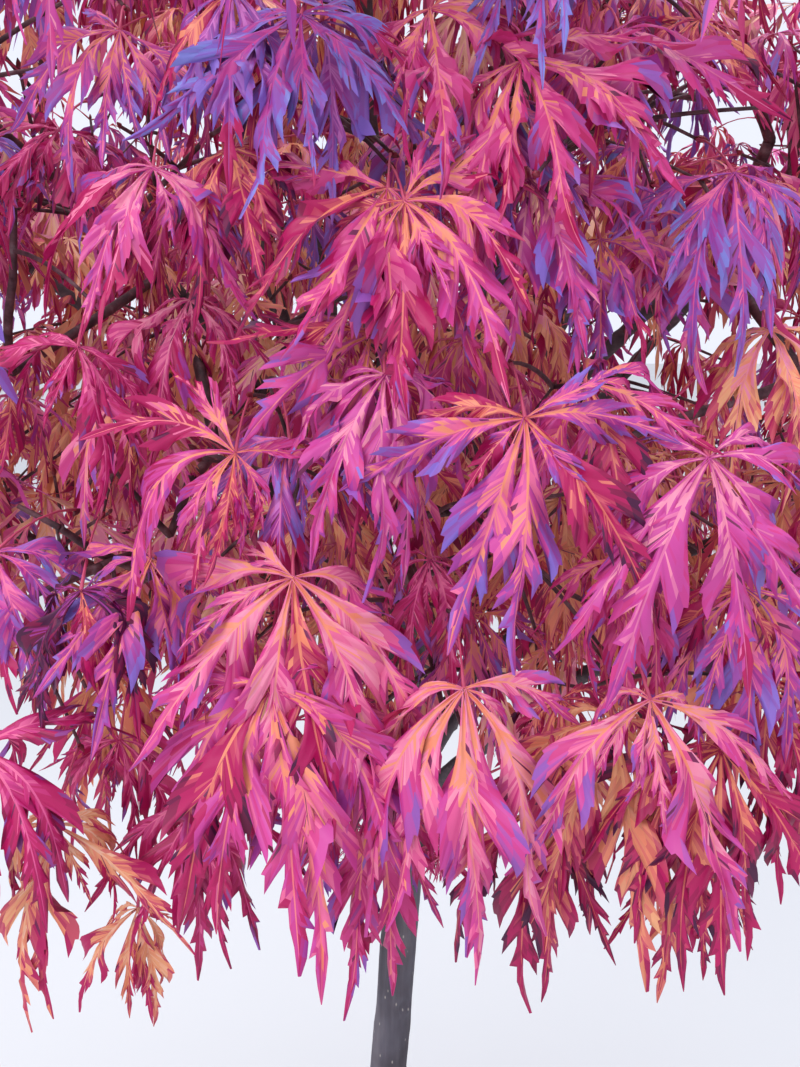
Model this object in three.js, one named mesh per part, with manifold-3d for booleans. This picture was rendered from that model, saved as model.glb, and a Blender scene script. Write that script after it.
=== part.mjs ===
// A full moon maple in autumn leaf, growing in a plain black nursery pot.
// Millimetres, +Z up. The origin is the middle of the pot's flat underside.
import * as THREE from 'three';
import { mergeVertices } from 'three/addons/utils/BufferGeometryUtils.js';
import Module from 'manifold-3d';

const wasm = await Module();
wasm.setup();

// Clearance that pieces which touch keep between them
const GAP = 0.3;
// Detail finer than this is dropped from the fused foliage, and no two of its corners lie closer than apart
const FUSED = { detail: 0.1, apart: 0.02 };
const UP = new THREE.Vector3(0, 0, 1);
const FULL_TURN = 2 * Math.PI;

// The pot is a moulded one of about 30 litres
const POT = {
  height: 310,
  footRadius: 158,
  mouthRadius: 188,
  wall: 3,
  floor: 4,
  footBevel: 5,
  lipOut: 7,
  lipDrop: 32,
  lipStep: 4,
  lipRound: 2,
  sides: 40,
};
const DRAIN = { count: 6, radius: 9, fromEdge: 24, sides: 8 };
const SOIL = { top: 284, shoulder: 120, fall: 7, sides: 32 };

// The trunk leans a little from its foot to its fork, and the graft shows as a swelling
const TRUNK = {
  foot: [-34, 3],
  spare: 6,
  fork: [19, -2],
  forkHeight: 1000,
  footRadius: 19.5,
  forkRadius: 16,
  bow: 9,
  flare: 11,
  flareHeight: 34,
  flareRidges: 5,
  flareRidgeShare: 0.22,
  graftHeight: 758,
  graftSwell: 3.6,
  graftSpan: 20,
  sides: 13,
  steps: 13,
};

// The crown's outline is a rounded dome, and every leaf stays inside it
const CROWN = {
  middle: 1330,
  radiusX: 600,
  radiusY: 590,
  rise: 505,
  fall: 430,
  roundness: 2.4,
  flatness: 5,
};

// Masses of foliage stand in tiers; reach and height place the middle of each mass
const TIERS = [
  { name: 'low', count: 8, reach: 392, height: 1045, turn: 0 },
  { name: 'middle', count: 8, reach: 418, height: 1285, turn: 10 },
  { name: 'high', count: 4, reach: 250, height: 1535, turn: 32.5 },
  { name: 'top', count: 1, reach: 24, height: 1675, turn: 210 },
];
// How far a mass may stand from its even place in its tier
const TIER_PLAY = { seed: 41, turn: 5, reach: 18, height: 26 };
// Space left free between one mass and the next
const MASS_SPACING = 1.6;
// A bough ends this far short of the middle of its mass
const BOUGH_SHORT = 122;

// Low boughs leave the trunk in opposite pairs, each pair a step above the last
const LOW_BOUGH = { firstHeight: 798, pairStep: 26, pairOrder: [3, 1, 2, 0], rise: 34, root: 9.5, tip: 4.6 };
// Leaders rise from just under the fork and carry the high masses
const LEADER = { firstHeight: 908, step: 9, out: 92, rise: 122, shortOut: 0.72, root: 12, tip: 5.4 };
const TOP_LEADER = { root: 13, tip: 5, sway: 26 };
// Middle boughs leave each leader in pairs, one below the other
const MIDDLE_BOUGH = { forks: [0.24, 0.4], bendAt: 0.45, rise: 46, root: 7.6, tip: 4.4 };
const BOUGH_SIDES = 6;
const BOUGH_STEPS = 5;

// Twigs are three-sided, and the further out along its stem one leaves, the shorter it is
const STEM = { length: 238, trim: 0.94, root: 4.6, tip: 3.6, lift: -8, steps: 2 };
const TWIG = {
  seed: 977,
  forks: [0.2, 0.48, 0.76],
  length: 148,
  shorten: 0.3,
  lengthPlay: 0.15,
  root: 3.8,
  tip: 3.2,
  splay: 54,
  splayPlay: 8,
  rollPlay: 20,
  steps: 1,
};
const TWIG_SIDES = 3;

// A leaf is a fan of deep lobes that arches down from the end of its stalk
const LEAF = {
  seed: 7919,
  lobes: 5,
  lobe: 118,
  spread: 112,
  shorten: 0.34,
  notch: 40,
  heelNotch: 9,
  heelAngle: 152,
  stalk: 46,
  stalkHalf: 1.1,
  hubHalf: 1.7,
  leastHang: 28,
  hangPlay: 44,
  droop: 0.26,
  seats: [0.97, 0.66, 0.4],
  pairStep: 0.07,
  leastTurn: 15,
  turnPlay: 75,
  dipPlay: 32,
  most: 12,
  tries: 36,
  mostScale: 1.04,
  leastScale: 0.7,
};

const FINISH = {
  pot: { color: 0x1b1c1e, roughness: 0.55 },
  soil: { color: 0x33251b, roughness: 0.95 },
  trunk: { color: 0x5f6068, roughness: 0.8 },
  bough: { color: 0x4a4045, roughness: 0.8 },
  low: { color: 0xa8432e, roughness: 0.6 },
  middle: { color: 0xb4285a, roughness: 0.6 },
  high: { color: 0x92305f, roughness: 0.6 },
  top: { color: 0x7a3a86, roughness: 0.6 },
};

// A small generator of even numbers from 0 to 1, the same on every run
function seeded(seed) {
  let state = seed >>> 0;
  return () => {
    state = (Math.imul(state, 1664525) + 1013904223) >>> 0;
    return state / 4294967296;
  };
}

function radians(degrees) {
  return (degrees * Math.PI) / 180;
}

function polar(reach, angle, height) {
  return new THREE.Vector3(reach * Math.cos(angle), reach * Math.sin(angle), height);
}

function cross(a, b) {
  return new THREE.Vector3().crossVectors(a, b);
}

// Solid of a closed geometry, with shared corners merged and its faces pointing out
function solidOf(source) {
  const bare = source.clone();
  bare.deleteAttribute('normal');
  bare.deleteAttribute('uv');
  const merged = mergeVertices(bare, 1e-3);
  const corners = [];
  for (let i = 0; i < merged.index.count; i += 3) {
    const [a, b, c] = [0, 1, 2].map((k) => merged.index.getX(i + k));
    if (a !== b && b !== c && c !== a) corners.push(a, b, c);
  }
  const points = merged.attributes.position.array;
  const build = (triangles) =>
    new wasm.Manifold(
      new wasm.Mesh({
        numProp: 3,
        vertProperties: new Float32Array(points),
        triVerts: new Uint32Array(triangles),
      }),
    );
  const solid = build(corners);
  if (solid.volume() > 0) return solid;
  return build(corners.reverse());
}

function geometryOf(solid) {
  const mesh = solid.getMesh();
  const geometry = new THREE.BufferGeometry();
  geometry.setAttribute('position', new THREE.BufferAttribute(mesh.vertProperties, 3));
  geometry.setIndex(new THREE.BufferAttribute(mesh.triVerts, 1));
  return geometry;
}

// The one whole body of a joined or cut solid, without loose scraps or sealed hollows
function wholeBody(solid) {
  const parts = solid.decompose();
  return parts.reduce((best, part) => (part.volume() > best.volume() ? part : best));
}

// A tapering limb: a cylinder whose rings are laid along a curve, square to it
function limbSolid(curve, radiusAt, sides, steps) {
  const blank = new THREE.CylinderGeometry(1, 1, 1, sides, steps);
  const chord = curve.getPoint(1).sub(curve.getPoint(0));
  const flat = cross(chord, UP);
  const across = flat.length() > 0.3 * chord.length() ? flat.normalize() : new THREE.Vector3(0, 1, 0);
  const position = blank.attributes.position;
  for (let i = 0; i < position.count; i++) {
    const along = THREE.MathUtils.clamp(position.getY(i) + 0.5, 0, 1);
    const tangent = curve.getTangent(along);
    const first = across.clone().addScaledVector(tangent, -across.dot(tangent)).normalize();
    const second = cross(tangent, first);
    const angle = Math.atan2(position.getZ(i), position.getX(i));
    const radius = Math.hypot(position.getX(i), position.getZ(i)) * radiusAt(along, angle);
    const point = curve.getPoint(along);
    point.addScaledVector(first, radius * Math.cos(angle));
    point.addScaledVector(second, radius * Math.sin(angle));
    position.setXYZ(i, point.x, point.y, point.z);
  }
  return solidOf(blank);
}

function taper(root, tip, grow = 0) {
  return (along) => THREE.MathUtils.lerp(root, tip, along) + grow;
}

function potRadius(height) {
  return THREE.MathUtils.lerp(POT.footRadius, POT.mouthRadius, height / POT.height);
}

function latheSolid(profile, sides) {
  const points = profile.map(([radius, height]) => new THREE.Vector2(radius, height));
  return solidOf(new THREE.LatheGeometry(points, sides).rotateX(Math.PI / 2));
}

function makePot() {
  const lipFoot = POT.height - POT.lipDrop;
  const mouth = POT.mouthRadius;
  const shell = latheSolid(
    [
      [0, 0],
      [POT.footRadius - POT.footBevel, 0],
      [potRadius(POT.footBevel), POT.footBevel],
      [potRadius(lipFoot - POT.lipStep), lipFoot - POT.lipStep],
      [potRadius(lipFoot) + POT.lipOut, lipFoot],
      [mouth + POT.lipOut + POT.lipRound, POT.height - POT.lipRound],
      [mouth + POT.lipOut, POT.height],
      [mouth - POT.wall + POT.lipRound, POT.height],
      [mouth - POT.wall, POT.height - POT.lipRound],
      [potRadius(POT.floor) - POT.wall, POT.floor],
      [0, POT.floor],
    ],
    POT.sides,
  );
  const drains = [];
  for (let k = 0; k < DRAIN.count; k++) {
    const drill = new THREE.CylinderGeometry(DRAIN.radius, DRAIN.radius, 4 * POT.floor, DRAIN.sides);
    const centre = polar(POT.footRadius - DRAIN.fromEdge, (k * FULL_TURN) / DRAIN.count, 0);
    drill.rotateX(Math.PI / 2).translate(centre.x, centre.y, centre.z);
    drains.push(solidOf(drill));
  }
  return drains.reduce((pot, drill) => pot.subtract(drill), shell);
}

function makeSoil() {
  const foot = POT.floor + GAP;
  const edge = SOIL.top - SOIL.fall;
  const inner = (height) => potRadius(height) - POT.wall - 2 * GAP;
  return latheSolid(
    [
      [0, foot],
      [inner(foot), foot],
      [inner(edge), edge],
      [SOIL.shoulder, SOIL.top],
      [0, SOIL.top],
    ],
    SOIL.sides,
  );
}

// The trunk's line from its flat foot on the soil to its fork
function trunkCurve() {
  const foot = new THREE.Vector3(...TRUNK.foot, SOIL.top - TRUNK.spare);
  const fork = new THREE.Vector3(...TRUNK.fork, TRUNK.forkHeight);
  const middle = foot.clone().lerp(fork, 0.5);
  middle.x += TRUNK.bow;
  return new THREE.QuadraticBezierCurve3(foot, middle, fork);
}

function trunkRadius(grow) {
  const foot = SOIL.top - TRUNK.spare;
  return (along, angle) => {
    const height = THREE.MathUtils.lerp(foot, TRUNK.forkHeight, along);
    const ridges = 1 + TRUNK.flareRidgeShare * Math.cos(TRUNK.flareRidges * angle);
    const flare = TRUNK.flare * ridges * Math.exp(-(height - SOIL.top) / TRUNK.flareHeight);
    const fromGraft = (height - TRUNK.graftHeight) / TRUNK.graftSpan;
    const graft = TRUNK.graftSwell * Math.exp(-fromGraft * fromGraft);
    return THREE.MathUtils.lerp(TRUNK.footRadius, TRUNK.forkRadius, along) + flare + graft + grow;
  };
}

function trunkPointAt(height) {
  const foot = SOIL.top - TRUNK.spare;
  return trunkCurve().getPoint((height - foot) / (TRUNK.forkHeight - foot));
}

// The trunk, cut flat where it stands on the soil
function makeTrunk(grow) {
  const size = 8 * TRUNK.footRadius;
  const ground = new THREE.BoxGeometry(size, size, size);
  ground.translate(TRUNK.foot[0], TRUNK.foot[1], SOIL.top + GAP - size / 2);
  return limbSolid(trunkCurve(), trunkRadius(grow), TRUNK.sides, TRUNK.steps).subtract(solidOf(ground));
}

// The middle of every mass of foliage
function massCentres() {
  const random = seeded(TIER_PLAY.seed);
  const play = (most) => most * (2 * random() - 1);
  const centres = [];
  for (const tier of TIERS) {
    for (let k = 0; k < tier.count; k++) {
      const angle = radians(tier.turn + play(TIER_PLAY.turn)) + (k * FULL_TURN) / tier.count;
      const centre = polar(tier.reach + play(TIER_PLAY.reach), angle, tier.height + play(TIER_PLAY.height));
      const label = tier.count > 1 ? `${tier.name}_${k + 1}` : tier.name;
      centres.push({ tier: tier.name, k, angle, label, centre });
    }
  }
  return centres;
}

// One bough for each mass: a curve from what carries it to where it enters the mass
function makeBoughs(masses) {
  const leaders = [];
  const boughs = [];
  const add = (mass, curve, size) => {
    const bough = { mass, curve, root: size.root, tip: size.tip };
    boughs.push(bough);
    return bough;
  };
  for (const mass of masses.filter(({ tier }) => tier === 'high')) {
    const start = trunkPointAt(LEADER.firstHeight + LEADER.step * mass.k);
    const bend = start.clone().add(polar(LEADER.out, mass.angle, LEADER.rise));
    const end = mass.centre.clone().add(polar(-BOUGH_SHORT * LEADER.shortOut, mass.angle, -BOUGH_SHORT));
    leaders.push(add(mass, new THREE.QuadraticBezierCurve3(start, bend, end), LEADER));
  }
  for (const mass of masses.filter(({ tier }) => tier === 'top')) {
    const start = trunkPointAt(TRUNK.forkHeight).add(new THREE.Vector3(0, 0, GAP));
    const end = mass.centre.clone().addScaledVector(UP, -BOUGH_SHORT);
    const bend = start.clone().lerp(end, 0.5).add(polar(TOP_LEADER.sway, mass.angle, 0));
    add(mass, new THREE.QuadraticBezierCurve3(start, bend, end), TOP_LEADER);
  }
  for (const mass of masses.filter(({ tier }) => tier === 'low')) {
    const pair = LOW_BOUGH.pairOrder[mass.k % LOW_BOUGH.pairOrder.length];
    const start = trunkPointAt(LOW_BOUGH.firstHeight + pair * LOW_BOUGH.pairStep);
    const end = mass.centre.clone().add(polar(-BOUGH_SHORT, mass.angle, 0));
    const bend = start.clone().lerp(end, 0.5).addScaledVector(UP, LOW_BOUGH.rise);
    add(mass, new THREE.QuadraticBezierCurve3(start, bend, end), LOW_BOUGH);
  }
  for (const mass of masses.filter(({ tier }) => tier === 'middle')) {
    const leader = leaders[Math.floor(mass.k / 2)];
    const start = leader.curve.getPoint(MIDDLE_BOUGH.forks[mass.k % 2]);
    const end = mass.centre.clone().add(polar(-BOUGH_SHORT, mass.angle, 0));
    const bend = start.clone().lerp(end, MIDDLE_BOUGH.bendAt).addScaledVector(UP, MIDDLE_BOUGH.rise);
    add(mass, new THREE.QuadraticBezierCurve3(start, bend, end), MIDDLE_BOUGH);
  }
  return boughs;
}

function insideCrown(point) {
  const out = Math.hypot(point.x / CROWN.radiusX, point.y / CROWN.radiusY);
  const above = point.z - CROWN.middle;
  if (above > 0) return out ** CROWN.roundness + (above / CROWN.rise) ** CROWN.roundness <= 1;
  return out ** CROWN.flatness + (-above / CROWN.fall) ** CROWN.flatness <= 1;
}

// True where a point lies nearer to its own mass's middle than to any other
function insideSpace(point, mass, masses) {
  return masses.every((other) => {
    if (other === mass) return true;
    const away = other.centre.clone().sub(mass.centre).normalize();
    const middle = mass.centre.clone().lerp(other.centre, 0.5);
    return point.clone().sub(middle).dot(away) <= -MASS_SPACING / 2;
  });
}

// Corners of one leaf about its hub; forward runs to the middle lobe and lie is its upper side
function leafCorners(root, heading, lie, hang, scale) {
  const side = cross(lie, heading).normalize();
  const hub = root.clone().addScaledVector(heading, LEAF.stalk);
  const forward = heading.clone().multiplyScalar(Math.cos(hang)).addScaledVector(lie, -Math.sin(hang));
  const over = cross(forward, side);
  const at = (reach, angle, drop) =>
    hub
      .clone()
      .addScaledVector(forward, reach * Math.cos(angle))
      .addScaledVector(side, reach * Math.sin(angle))
      .addScaledVector(over, -drop);
  const spread = radians(LEAF.spread);
  const step = (2 * spread) / (LEAF.lobes - 1);
  const rim = [at(LEAF.heelNotch, -radians(LEAF.heelAngle), 0)];
  for (let k = 0; k < LEAF.lobes; k++) {
    const angle = -spread + k * step;
    const reach = scale * LEAF.lobe * (1 - LEAF.shorten * (Math.abs(angle) / spread) ** 1.5);
    rim.push(at(reach, angle, LEAF.droop * reach));
    const notch = scale * LEAF.notch;
    if (k < LEAF.lobes - 1) rim.push(at(notch, angle + step / 2, 0.2 * LEAF.droop * notch));
  }
  rim.push(at(LEAF.heelNotch, radians(LEAF.heelAngle), 0));
  const stalk = [
    root.clone().addScaledVector(side, LEAF.stalkHalf),
    root.clone().addScaledVector(lie, LEAF.stalkHalf),
    root.clone().addScaledVector(side, -LEAF.stalkHalf),
    root.clone().addScaledVector(lie, -LEAF.stalkHalf),
  ];
  return { rim, stalk, top: at(0, 0, -LEAF.hubHalf), bottom: at(0, 0, LEAF.hubHalf) };
}

// A thin closed fan, thickest at its hub, with its square stalk behind it
function leafSolid({ rim, stalk, top, bottom }) {
  const [left, above, right, below] = stalk;
  const faces = [];
  for (let k = 0; k + 1 < rim.length; k++) {
    faces.push([top, rim[k], rim[k + 1]], [bottom, rim[k + 1], rim[k]]);
  }
  const first = rim[0];
  const last = rim[rim.length - 1];
  faces.push([top, last, left], [top, left, above], [top, above, right], [top, right, first]);
  faces.push([bottom, left, last], [bottom, below, left], [bottom, right, below], [bottom, first, right]);
  faces.push([left, below, above], [above, below, right]);
  const geometry = new THREE.BufferGeometry();
  const values = faces.flat().flatMap((corner) => corner.toArray());
  geometry.setAttribute('position', new THREE.Float32BufferAttribute(values, 3));
  return solidOf(geometry);
}

function makeTwig(start, heading, length, lift, size) {
  const bend = start.clone().addScaledVector(heading, length / 2);
  const end = start.clone().addScaledVector(heading, length).addScaledVector(UP, lift);
  const curve = new THREE.QuadraticBezierCurve3(start, bend, end);
  return { curve, solid: limbSolid(curve, taper(size.root, size.tip), TWIG_SIDES, size.steps) };
}

function everyCornerFits(solid, fits) {
  const corners = solid.getMesh().vertProperties;
  const point = new THREE.Vector3();
  for (let i = 0; i < corners.length; i += 3) {
    if (!fits(point.fromArray(corners, i))) return false;
  }
  return true;
}

// True where no two corners of a solid all but meet
function hasCornersApart(solid) {
  const corners = solid.getMesh().vertProperties;
  for (let i = 0; i < corners.length; i += 3) {
    for (let j = 0; j < i; j += 3) {
      const away = Math.hypot(
        corners[i] - corners[j],
        corners[i + 1] - corners[j + 1],
        corners[i + 2] - corners[j + 2],
      );
      if (away < FUSED.apart) return false;
    }
  }
  return true;
}

// A piece fused on to a body, or null where their faces meet too finely to stay sound
function fuse(body, piece) {
  const fused = wholeBody(body.add(piece)).simplify(FUSED.detail);
  return hasCornersApart(fused) ? fused : null;
}

// The stem carries on from its bough, as long as its space lets it be
function growStem(bough, fits) {
  const heading = bough.curve.getTangent(1);
  const start = bough.curve.getPoint(1).addScaledVector(heading, GAP);
  let length = STEM.length;
  let stem = makeTwig(start, heading, length, STEM.lift, STEM);
  while (!everyCornerFits(stem.solid, fits)) {
    length *= STEM.trim;
    stem = makeTwig(start, heading, length, STEM.lift, STEM);
  }
  return stem;
}

// Side twigs leave the stem in opposite pairs, each pair turned a quarter from the last
function growSideTwigs(bough, stem, fits, limbs) {
  const random = seeded(TWIG.seed * (bough.number + 1));
  const play = (most) => most * (2 * random() - 1);
  const twigs = [];
  TWIG.forks.forEach((fork, pair) => {
    const heading = stem.curve.getTangent(fork);
    const level = cross(UP, heading).normalize();
    const upright = cross(heading, level);
    const roll = radians(90 * pair + play(TWIG.rollPlay));
    const across = level.multiplyScalar(Math.cos(roll)).addScaledVector(upright, Math.sin(roll));
    for (const hand of [-1, 1]) {
      const splay = radians(TWIG.splay + play(TWIG.splayPlay));
      const way = heading.clone().multiplyScalar(Math.cos(splay));
      way.addScaledVector(across, hand * Math.sin(splay)).normalize();
      const length = TWIG.length * (1 - TWIG.shorten * fork) * (1 + play(TWIG.lengthPlay));
      const twig = makeTwig(stem.curve.getPoint(fork), way, length, 0, TWIG);
      if (!everyCornerFits(twig.solid, fits)) continue;
      if (twig.solid.intersect(limbs).isEmpty()) twigs.push(twig);
    }
  });
  return twigs;
}

// Where leaves may stand: a pair at the end of each twig first, then pairs further back
function leafSeats(twigs) {
  return LEAF.seats.flatMap((along) =>
    twigs.flatMap((twig) => [
      { twig, along, hand: -1 },
      { twig, along: along - LEAF.pairStep, hand: 1 },
    ]),
  );
}

// One leaf at a seat, with the heading, hang and size that a draw gives it
function drawLeaf({ twig, along, hand }, attempt, random) {
  const root = twig.curve.getPoint(along);
  const outward = new THREE.Vector3(root.x, root.y, 0).normalize();
  const turn = hand * radians(LEAF.leastTurn + LEAF.turnPlay * random());
  const dip = radians(LEAF.dipPlay * (2 * random() - 1));
  const flat = twig.curve.getTangent(along).lerp(outward, 0.5).setZ(0).normalize().applyAxisAngle(UP, turn);
  const heading = flat.multiplyScalar(Math.cos(dip)).addScaledVector(UP, -Math.sin(dip));
  const lie = UP.clone().addScaledVector(heading, -heading.z).normalize();
  const hang = radians(LEAF.leastHang + LEAF.hangPlay * random());
  const scale = THREE.MathUtils.lerp(LEAF.mostScale, LEAF.leastScale, attempt / LEAF.tries);
  return leafSolid(leafCorners(root, heading, lie, hang, scale));
}

// Stem, twigs and leaves of one mass, fused into one body
function growMass(bough, masses, limbs) {
  const fits = (point) => insideCrown(point) && insideSpace(point, bough.mass, masses);
  const random = seeded(LEAF.seed * (bough.number + 1));
  const stem = growStem(bough, fits);
  const twigs = [stem];
  let body = stem.solid;
  for (const twig of growSideTwigs(bough, stem, fits, limbs)) {
    const fused = fuse(body, twig.solid);
    if (!fused) continue;
    twigs.unshift(twig);
    body = fused;
  }
  const leaves = [];
  for (const seat of leafSeats(twigs)) {
    const others = twigs.filter((twig) => twig !== seat.twig).map(({ solid }) => solid);
    for (let attempt = 0; attempt < LEAF.tries && leaves.length < LEAF.most; attempt++) {
      const leaf = drawLeaf(seat, attempt, random);
      if (!everyCornerFits(leaf, fits)) continue;
      if (![limbs, ...others, ...leaves].every((other) => leaf.intersect(other).isEmpty())) continue;
      const fused = fuse(body, leaf);
      if (!fused) continue;
      leaves.push(leaf);
      body = fused;
      break;
    }
  }
  return body;
}

function addPiece(group, name, solid, place, finish) {
  const geometry = geometryOf(solid).translate(-place.x, -place.y, -place.z);
  const material = new THREE.MeshStandardMaterial({ ...finish, metalness: 0 });
  const piece = new THREE.Mesh(geometry, material);
  piece.name = name;
  piece.position.copy(place);
  group.add(piece);
}

const pottedMaple = new THREE.Group();
const ORIGIN = new THREE.Vector3();
addPiece(pottedMaple, 'pot', makePot(), ORIGIN, FINISH.pot);
addPiece(pottedMaple, 'potting_soil', makeSoil(), ORIGIN, FINISH.soil);

addPiece(pottedMaple, 'trunk', makeTrunk(0), trunkPointAt(SOIL.top), FINISH.trunk);

// Each bough is cut back from the trunk and from the boughs before it
const masses = massCentres();
const boughs = makeBoughs(masses);
let grownLimbs = makeTrunk(GAP);
boughs.forEach((bough, number) => {
  bough.number = number;
  const { curve, root, tip, mass } = bough;
  const bare = limbSolid(curve, taper(root, tip), BOUGH_SIDES, BOUGH_STEPS);
  const solid = wholeBody(bare.subtract(grownLimbs));
  addPiece(pottedMaple, `bough_${mass.label}`, solid, curve.getPoint(0), FINISH.bough);
  grownLimbs = grownLimbs.add(limbSolid(curve, taper(root, tip, GAP), BOUGH_SIDES, BOUGH_STEPS));
});

for (const bough of boughs) {
  const solid = growMass(bough, masses, grownLimbs);
  const { tier, label } = bough.mass;
  addPiece(pottedMaple, `foliage_${label}`, solid, bough.curve.getPoint(1), FINISH[tier]);
}

export default pottedMaple;
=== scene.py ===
# A full moon maple in autumn leaf, in a plain black nursery pot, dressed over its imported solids.
# Metres, +Z up. The photograph looks along +Y.
import math

import bmesh
import bpy
import numpy as np
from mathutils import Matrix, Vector, noise


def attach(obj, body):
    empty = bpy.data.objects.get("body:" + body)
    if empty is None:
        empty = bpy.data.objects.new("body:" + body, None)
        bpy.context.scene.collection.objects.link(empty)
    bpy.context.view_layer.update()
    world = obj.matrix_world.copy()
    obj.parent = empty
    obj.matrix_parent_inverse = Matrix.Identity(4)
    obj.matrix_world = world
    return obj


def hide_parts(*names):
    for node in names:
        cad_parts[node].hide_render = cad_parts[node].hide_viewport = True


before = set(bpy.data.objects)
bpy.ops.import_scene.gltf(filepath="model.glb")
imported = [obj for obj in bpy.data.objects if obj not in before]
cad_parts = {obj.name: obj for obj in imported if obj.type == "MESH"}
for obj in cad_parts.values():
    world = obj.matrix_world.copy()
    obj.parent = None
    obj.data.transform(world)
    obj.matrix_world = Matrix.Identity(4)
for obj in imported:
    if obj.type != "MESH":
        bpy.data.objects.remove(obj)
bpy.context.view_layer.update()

UP = np.array([0.0, 0.0, 1.0])
DOWN = -UP

# Pot and soil
POT = {"height": 0.310, "foot": 0.158, "mouth": 0.188, "wall": 0.003, "floor": 0.004, "sides": 128}
POT_LIP = {"out": 0.009, "drop": 0.032}
POT_FOOT = {"height": 0.009, "in": 0.0016}
POT_BEAD = {"heights": (0.246, 0.060), "half": 0.0022, "out": 0.0014}
POT_EDGES = {"round": 0.0013, "steps": 3, "bevel_from": 28, "smooth_under": 30, "weld": 0.00002}
DRAIN = {"count": 6, "radius": 0.009, "from_edge": 0.024, "sides": 24, "drill": 0.03}
SOIL = {"top": 0.284, "edge": 0.277, "shoulder": 0.120, "slope": 0.06, "fade": 0.012}
SOIL.update({"sides": 120, "rings": 44, "side_gap": 0.0005, "foot_gap": 0.0003, "slack": 0.0001})
SOIL["smooth_under"] = 50
# Normals of faces: up for a top, level for a wall
FACES_UP = 0.9
FACES_OUT = 0.5

# What lies on the soil: its reach, its distance from the trunk, its play in size and shape, and how it stands
LITTER = {"box": 0.18, "reach": 0.174, "off_trunk": 0.036, "size": (0.5, 1.3), "sides": (0.8, 1.2)}
LITTER.update({"corners": (0.75, 1.25), "up": 0.3})
# Each kind of it: how many, seed, half sizes, and how much each leans
CRUMBS = {"count": 1500, "seed": 4, "half": (0.0036, 0.003, 0.0026), "lean": 0.4}
CHIPS = {"count": 420, "seed": 9, "half": (0.011, 0.0052, 0.0016), "lean": 0.22}
GRIT = {"count": 260, "seed": 15, "half": (0.0017, 0.0016, 0.0014), "lean": 0.4}

# Trunk, from its flat foot on the soil to its fork
TRUNK = {"foot": (-0.034, 0.003), "fork": (0.019, -0.002), "fork_height": 1.000, "foot_radius": 0.0195}
TRUNK.update({"fork_radius": 0.016, "bow": 0.009, "flare": 0.011, "flare_height": 0.034, "spare": 0.006})
TRUNK_MESH = {"sides": 60, "rings": 230, "past_fork": 0.002, "top_inset": 0.004, "core": 0.006}
GRAFT = {"height": 0.758, "swell": 0.0036, "span": 0.020, "seam": 0.0012, "wave": 0.006, "seam_span": 0.0045}
FLARE_RIDGES = 5
FLARE_RIDGE_SHARE = 0.22
# Healed scars of old side shoots on the trunk: height, turn round it in degrees, radius
SCARS = [
    (0.402, 250, 0.008), (0.515, 20, 0.007), (0.604, 300, 0.009), (0.690, 150, 0.007), (0.866, 262, 0.006),
]
# A scar's raised rim and hollow middle: heights, places and widths as shares of its radius
SCAR = {"rim": 0.0022, "rim_at": 0.85, "sharp": 12, "hollow": 0.0012, "hollow_span": 0.5, "stretch": 0.8}

# Relief of each surface: height, scale along each axis, roughness, step between its sizes and their number
RELIEF = {
    "bough": (0.00045, (170, 170, 170), 0.8, 2.1, 4),
    "bark_lumps": (0.0011, (26, 26, 11), 0.9, 2.0, 3),
    "bark_grain": (0.00042, (240, 240, 26), 0.8, 2.1, 3),
    "soil_mounds": (0.0022, (22, 22, 3.1), 0.9, 2.0, 3),
    "soil_crumbs": (0.0016, (130, 130, 7.7), 0.7, 2.1, 3),
}
BOUGH_RELIEF_SUNK = 0.1

# The crown's outline, and the tiers that its masses stand in
CROWN = {"middle": 1.330, "x": 0.600, "y": 0.590, "rise": 0.505, "fall": 0.430}
ROUNDNESS = 2.4
FLATNESS = 5
TIERS = [
    {"name": "low", "count": 8, "reach": 0.392, "height": 1.045, "turn": 0},
    {"name": "middle", "count": 8, "reach": 0.418, "height": 1.285, "turn": 10},
    {"name": "high", "count": 4, "reach": 0.250, "height": 1.535, "turn": 32.5},
    {"name": "top", "count": 1, "reach": 0.024, "height": 1.675, "turn": 210},
]
TIER_PLAY = {"seed": 41, "turn": 5, "reach": 0.018, "height": 0.026}
BOUGH_SHORT = 0.122

# Boughs: where each starts and how it rises, then its thickness at root and tip
LOW_BOUGH = {"first": 0.798, "step": 0.026, "order": (3, 1, 2, 0), "rise": 0.034}
LOW_BOUGH.update({"root": 0.0095, "tip": 0.0046})
LEADER = {"first": 0.908, "step": 0.009, "out": 0.092, "rise": 0.122, "short": 0.72}
LEADER.update({"root": 0.012, "tip": 0.0054})
TOP_LEADER = {"root": 0.013, "tip": 0.005, "sway": 0.026}
MIDDLE_BOUGH = {"forks": (0.24, 0.4), "bend_at": 0.45, "rise": 0.046, "root": 0.0076, "tip": 0.0044}
BOUGH_MESH = {"rings": 90, "roundness": 3}

# Nodes along a bough, and the collar where it leaves its parent: shares of its thickness
NODE = {"apart": 0.052, "span": 0.0035, "swell": 0.2, "shift": 0.37}
COLLAR = {"swell": 0.45, "span": 0.016}

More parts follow.
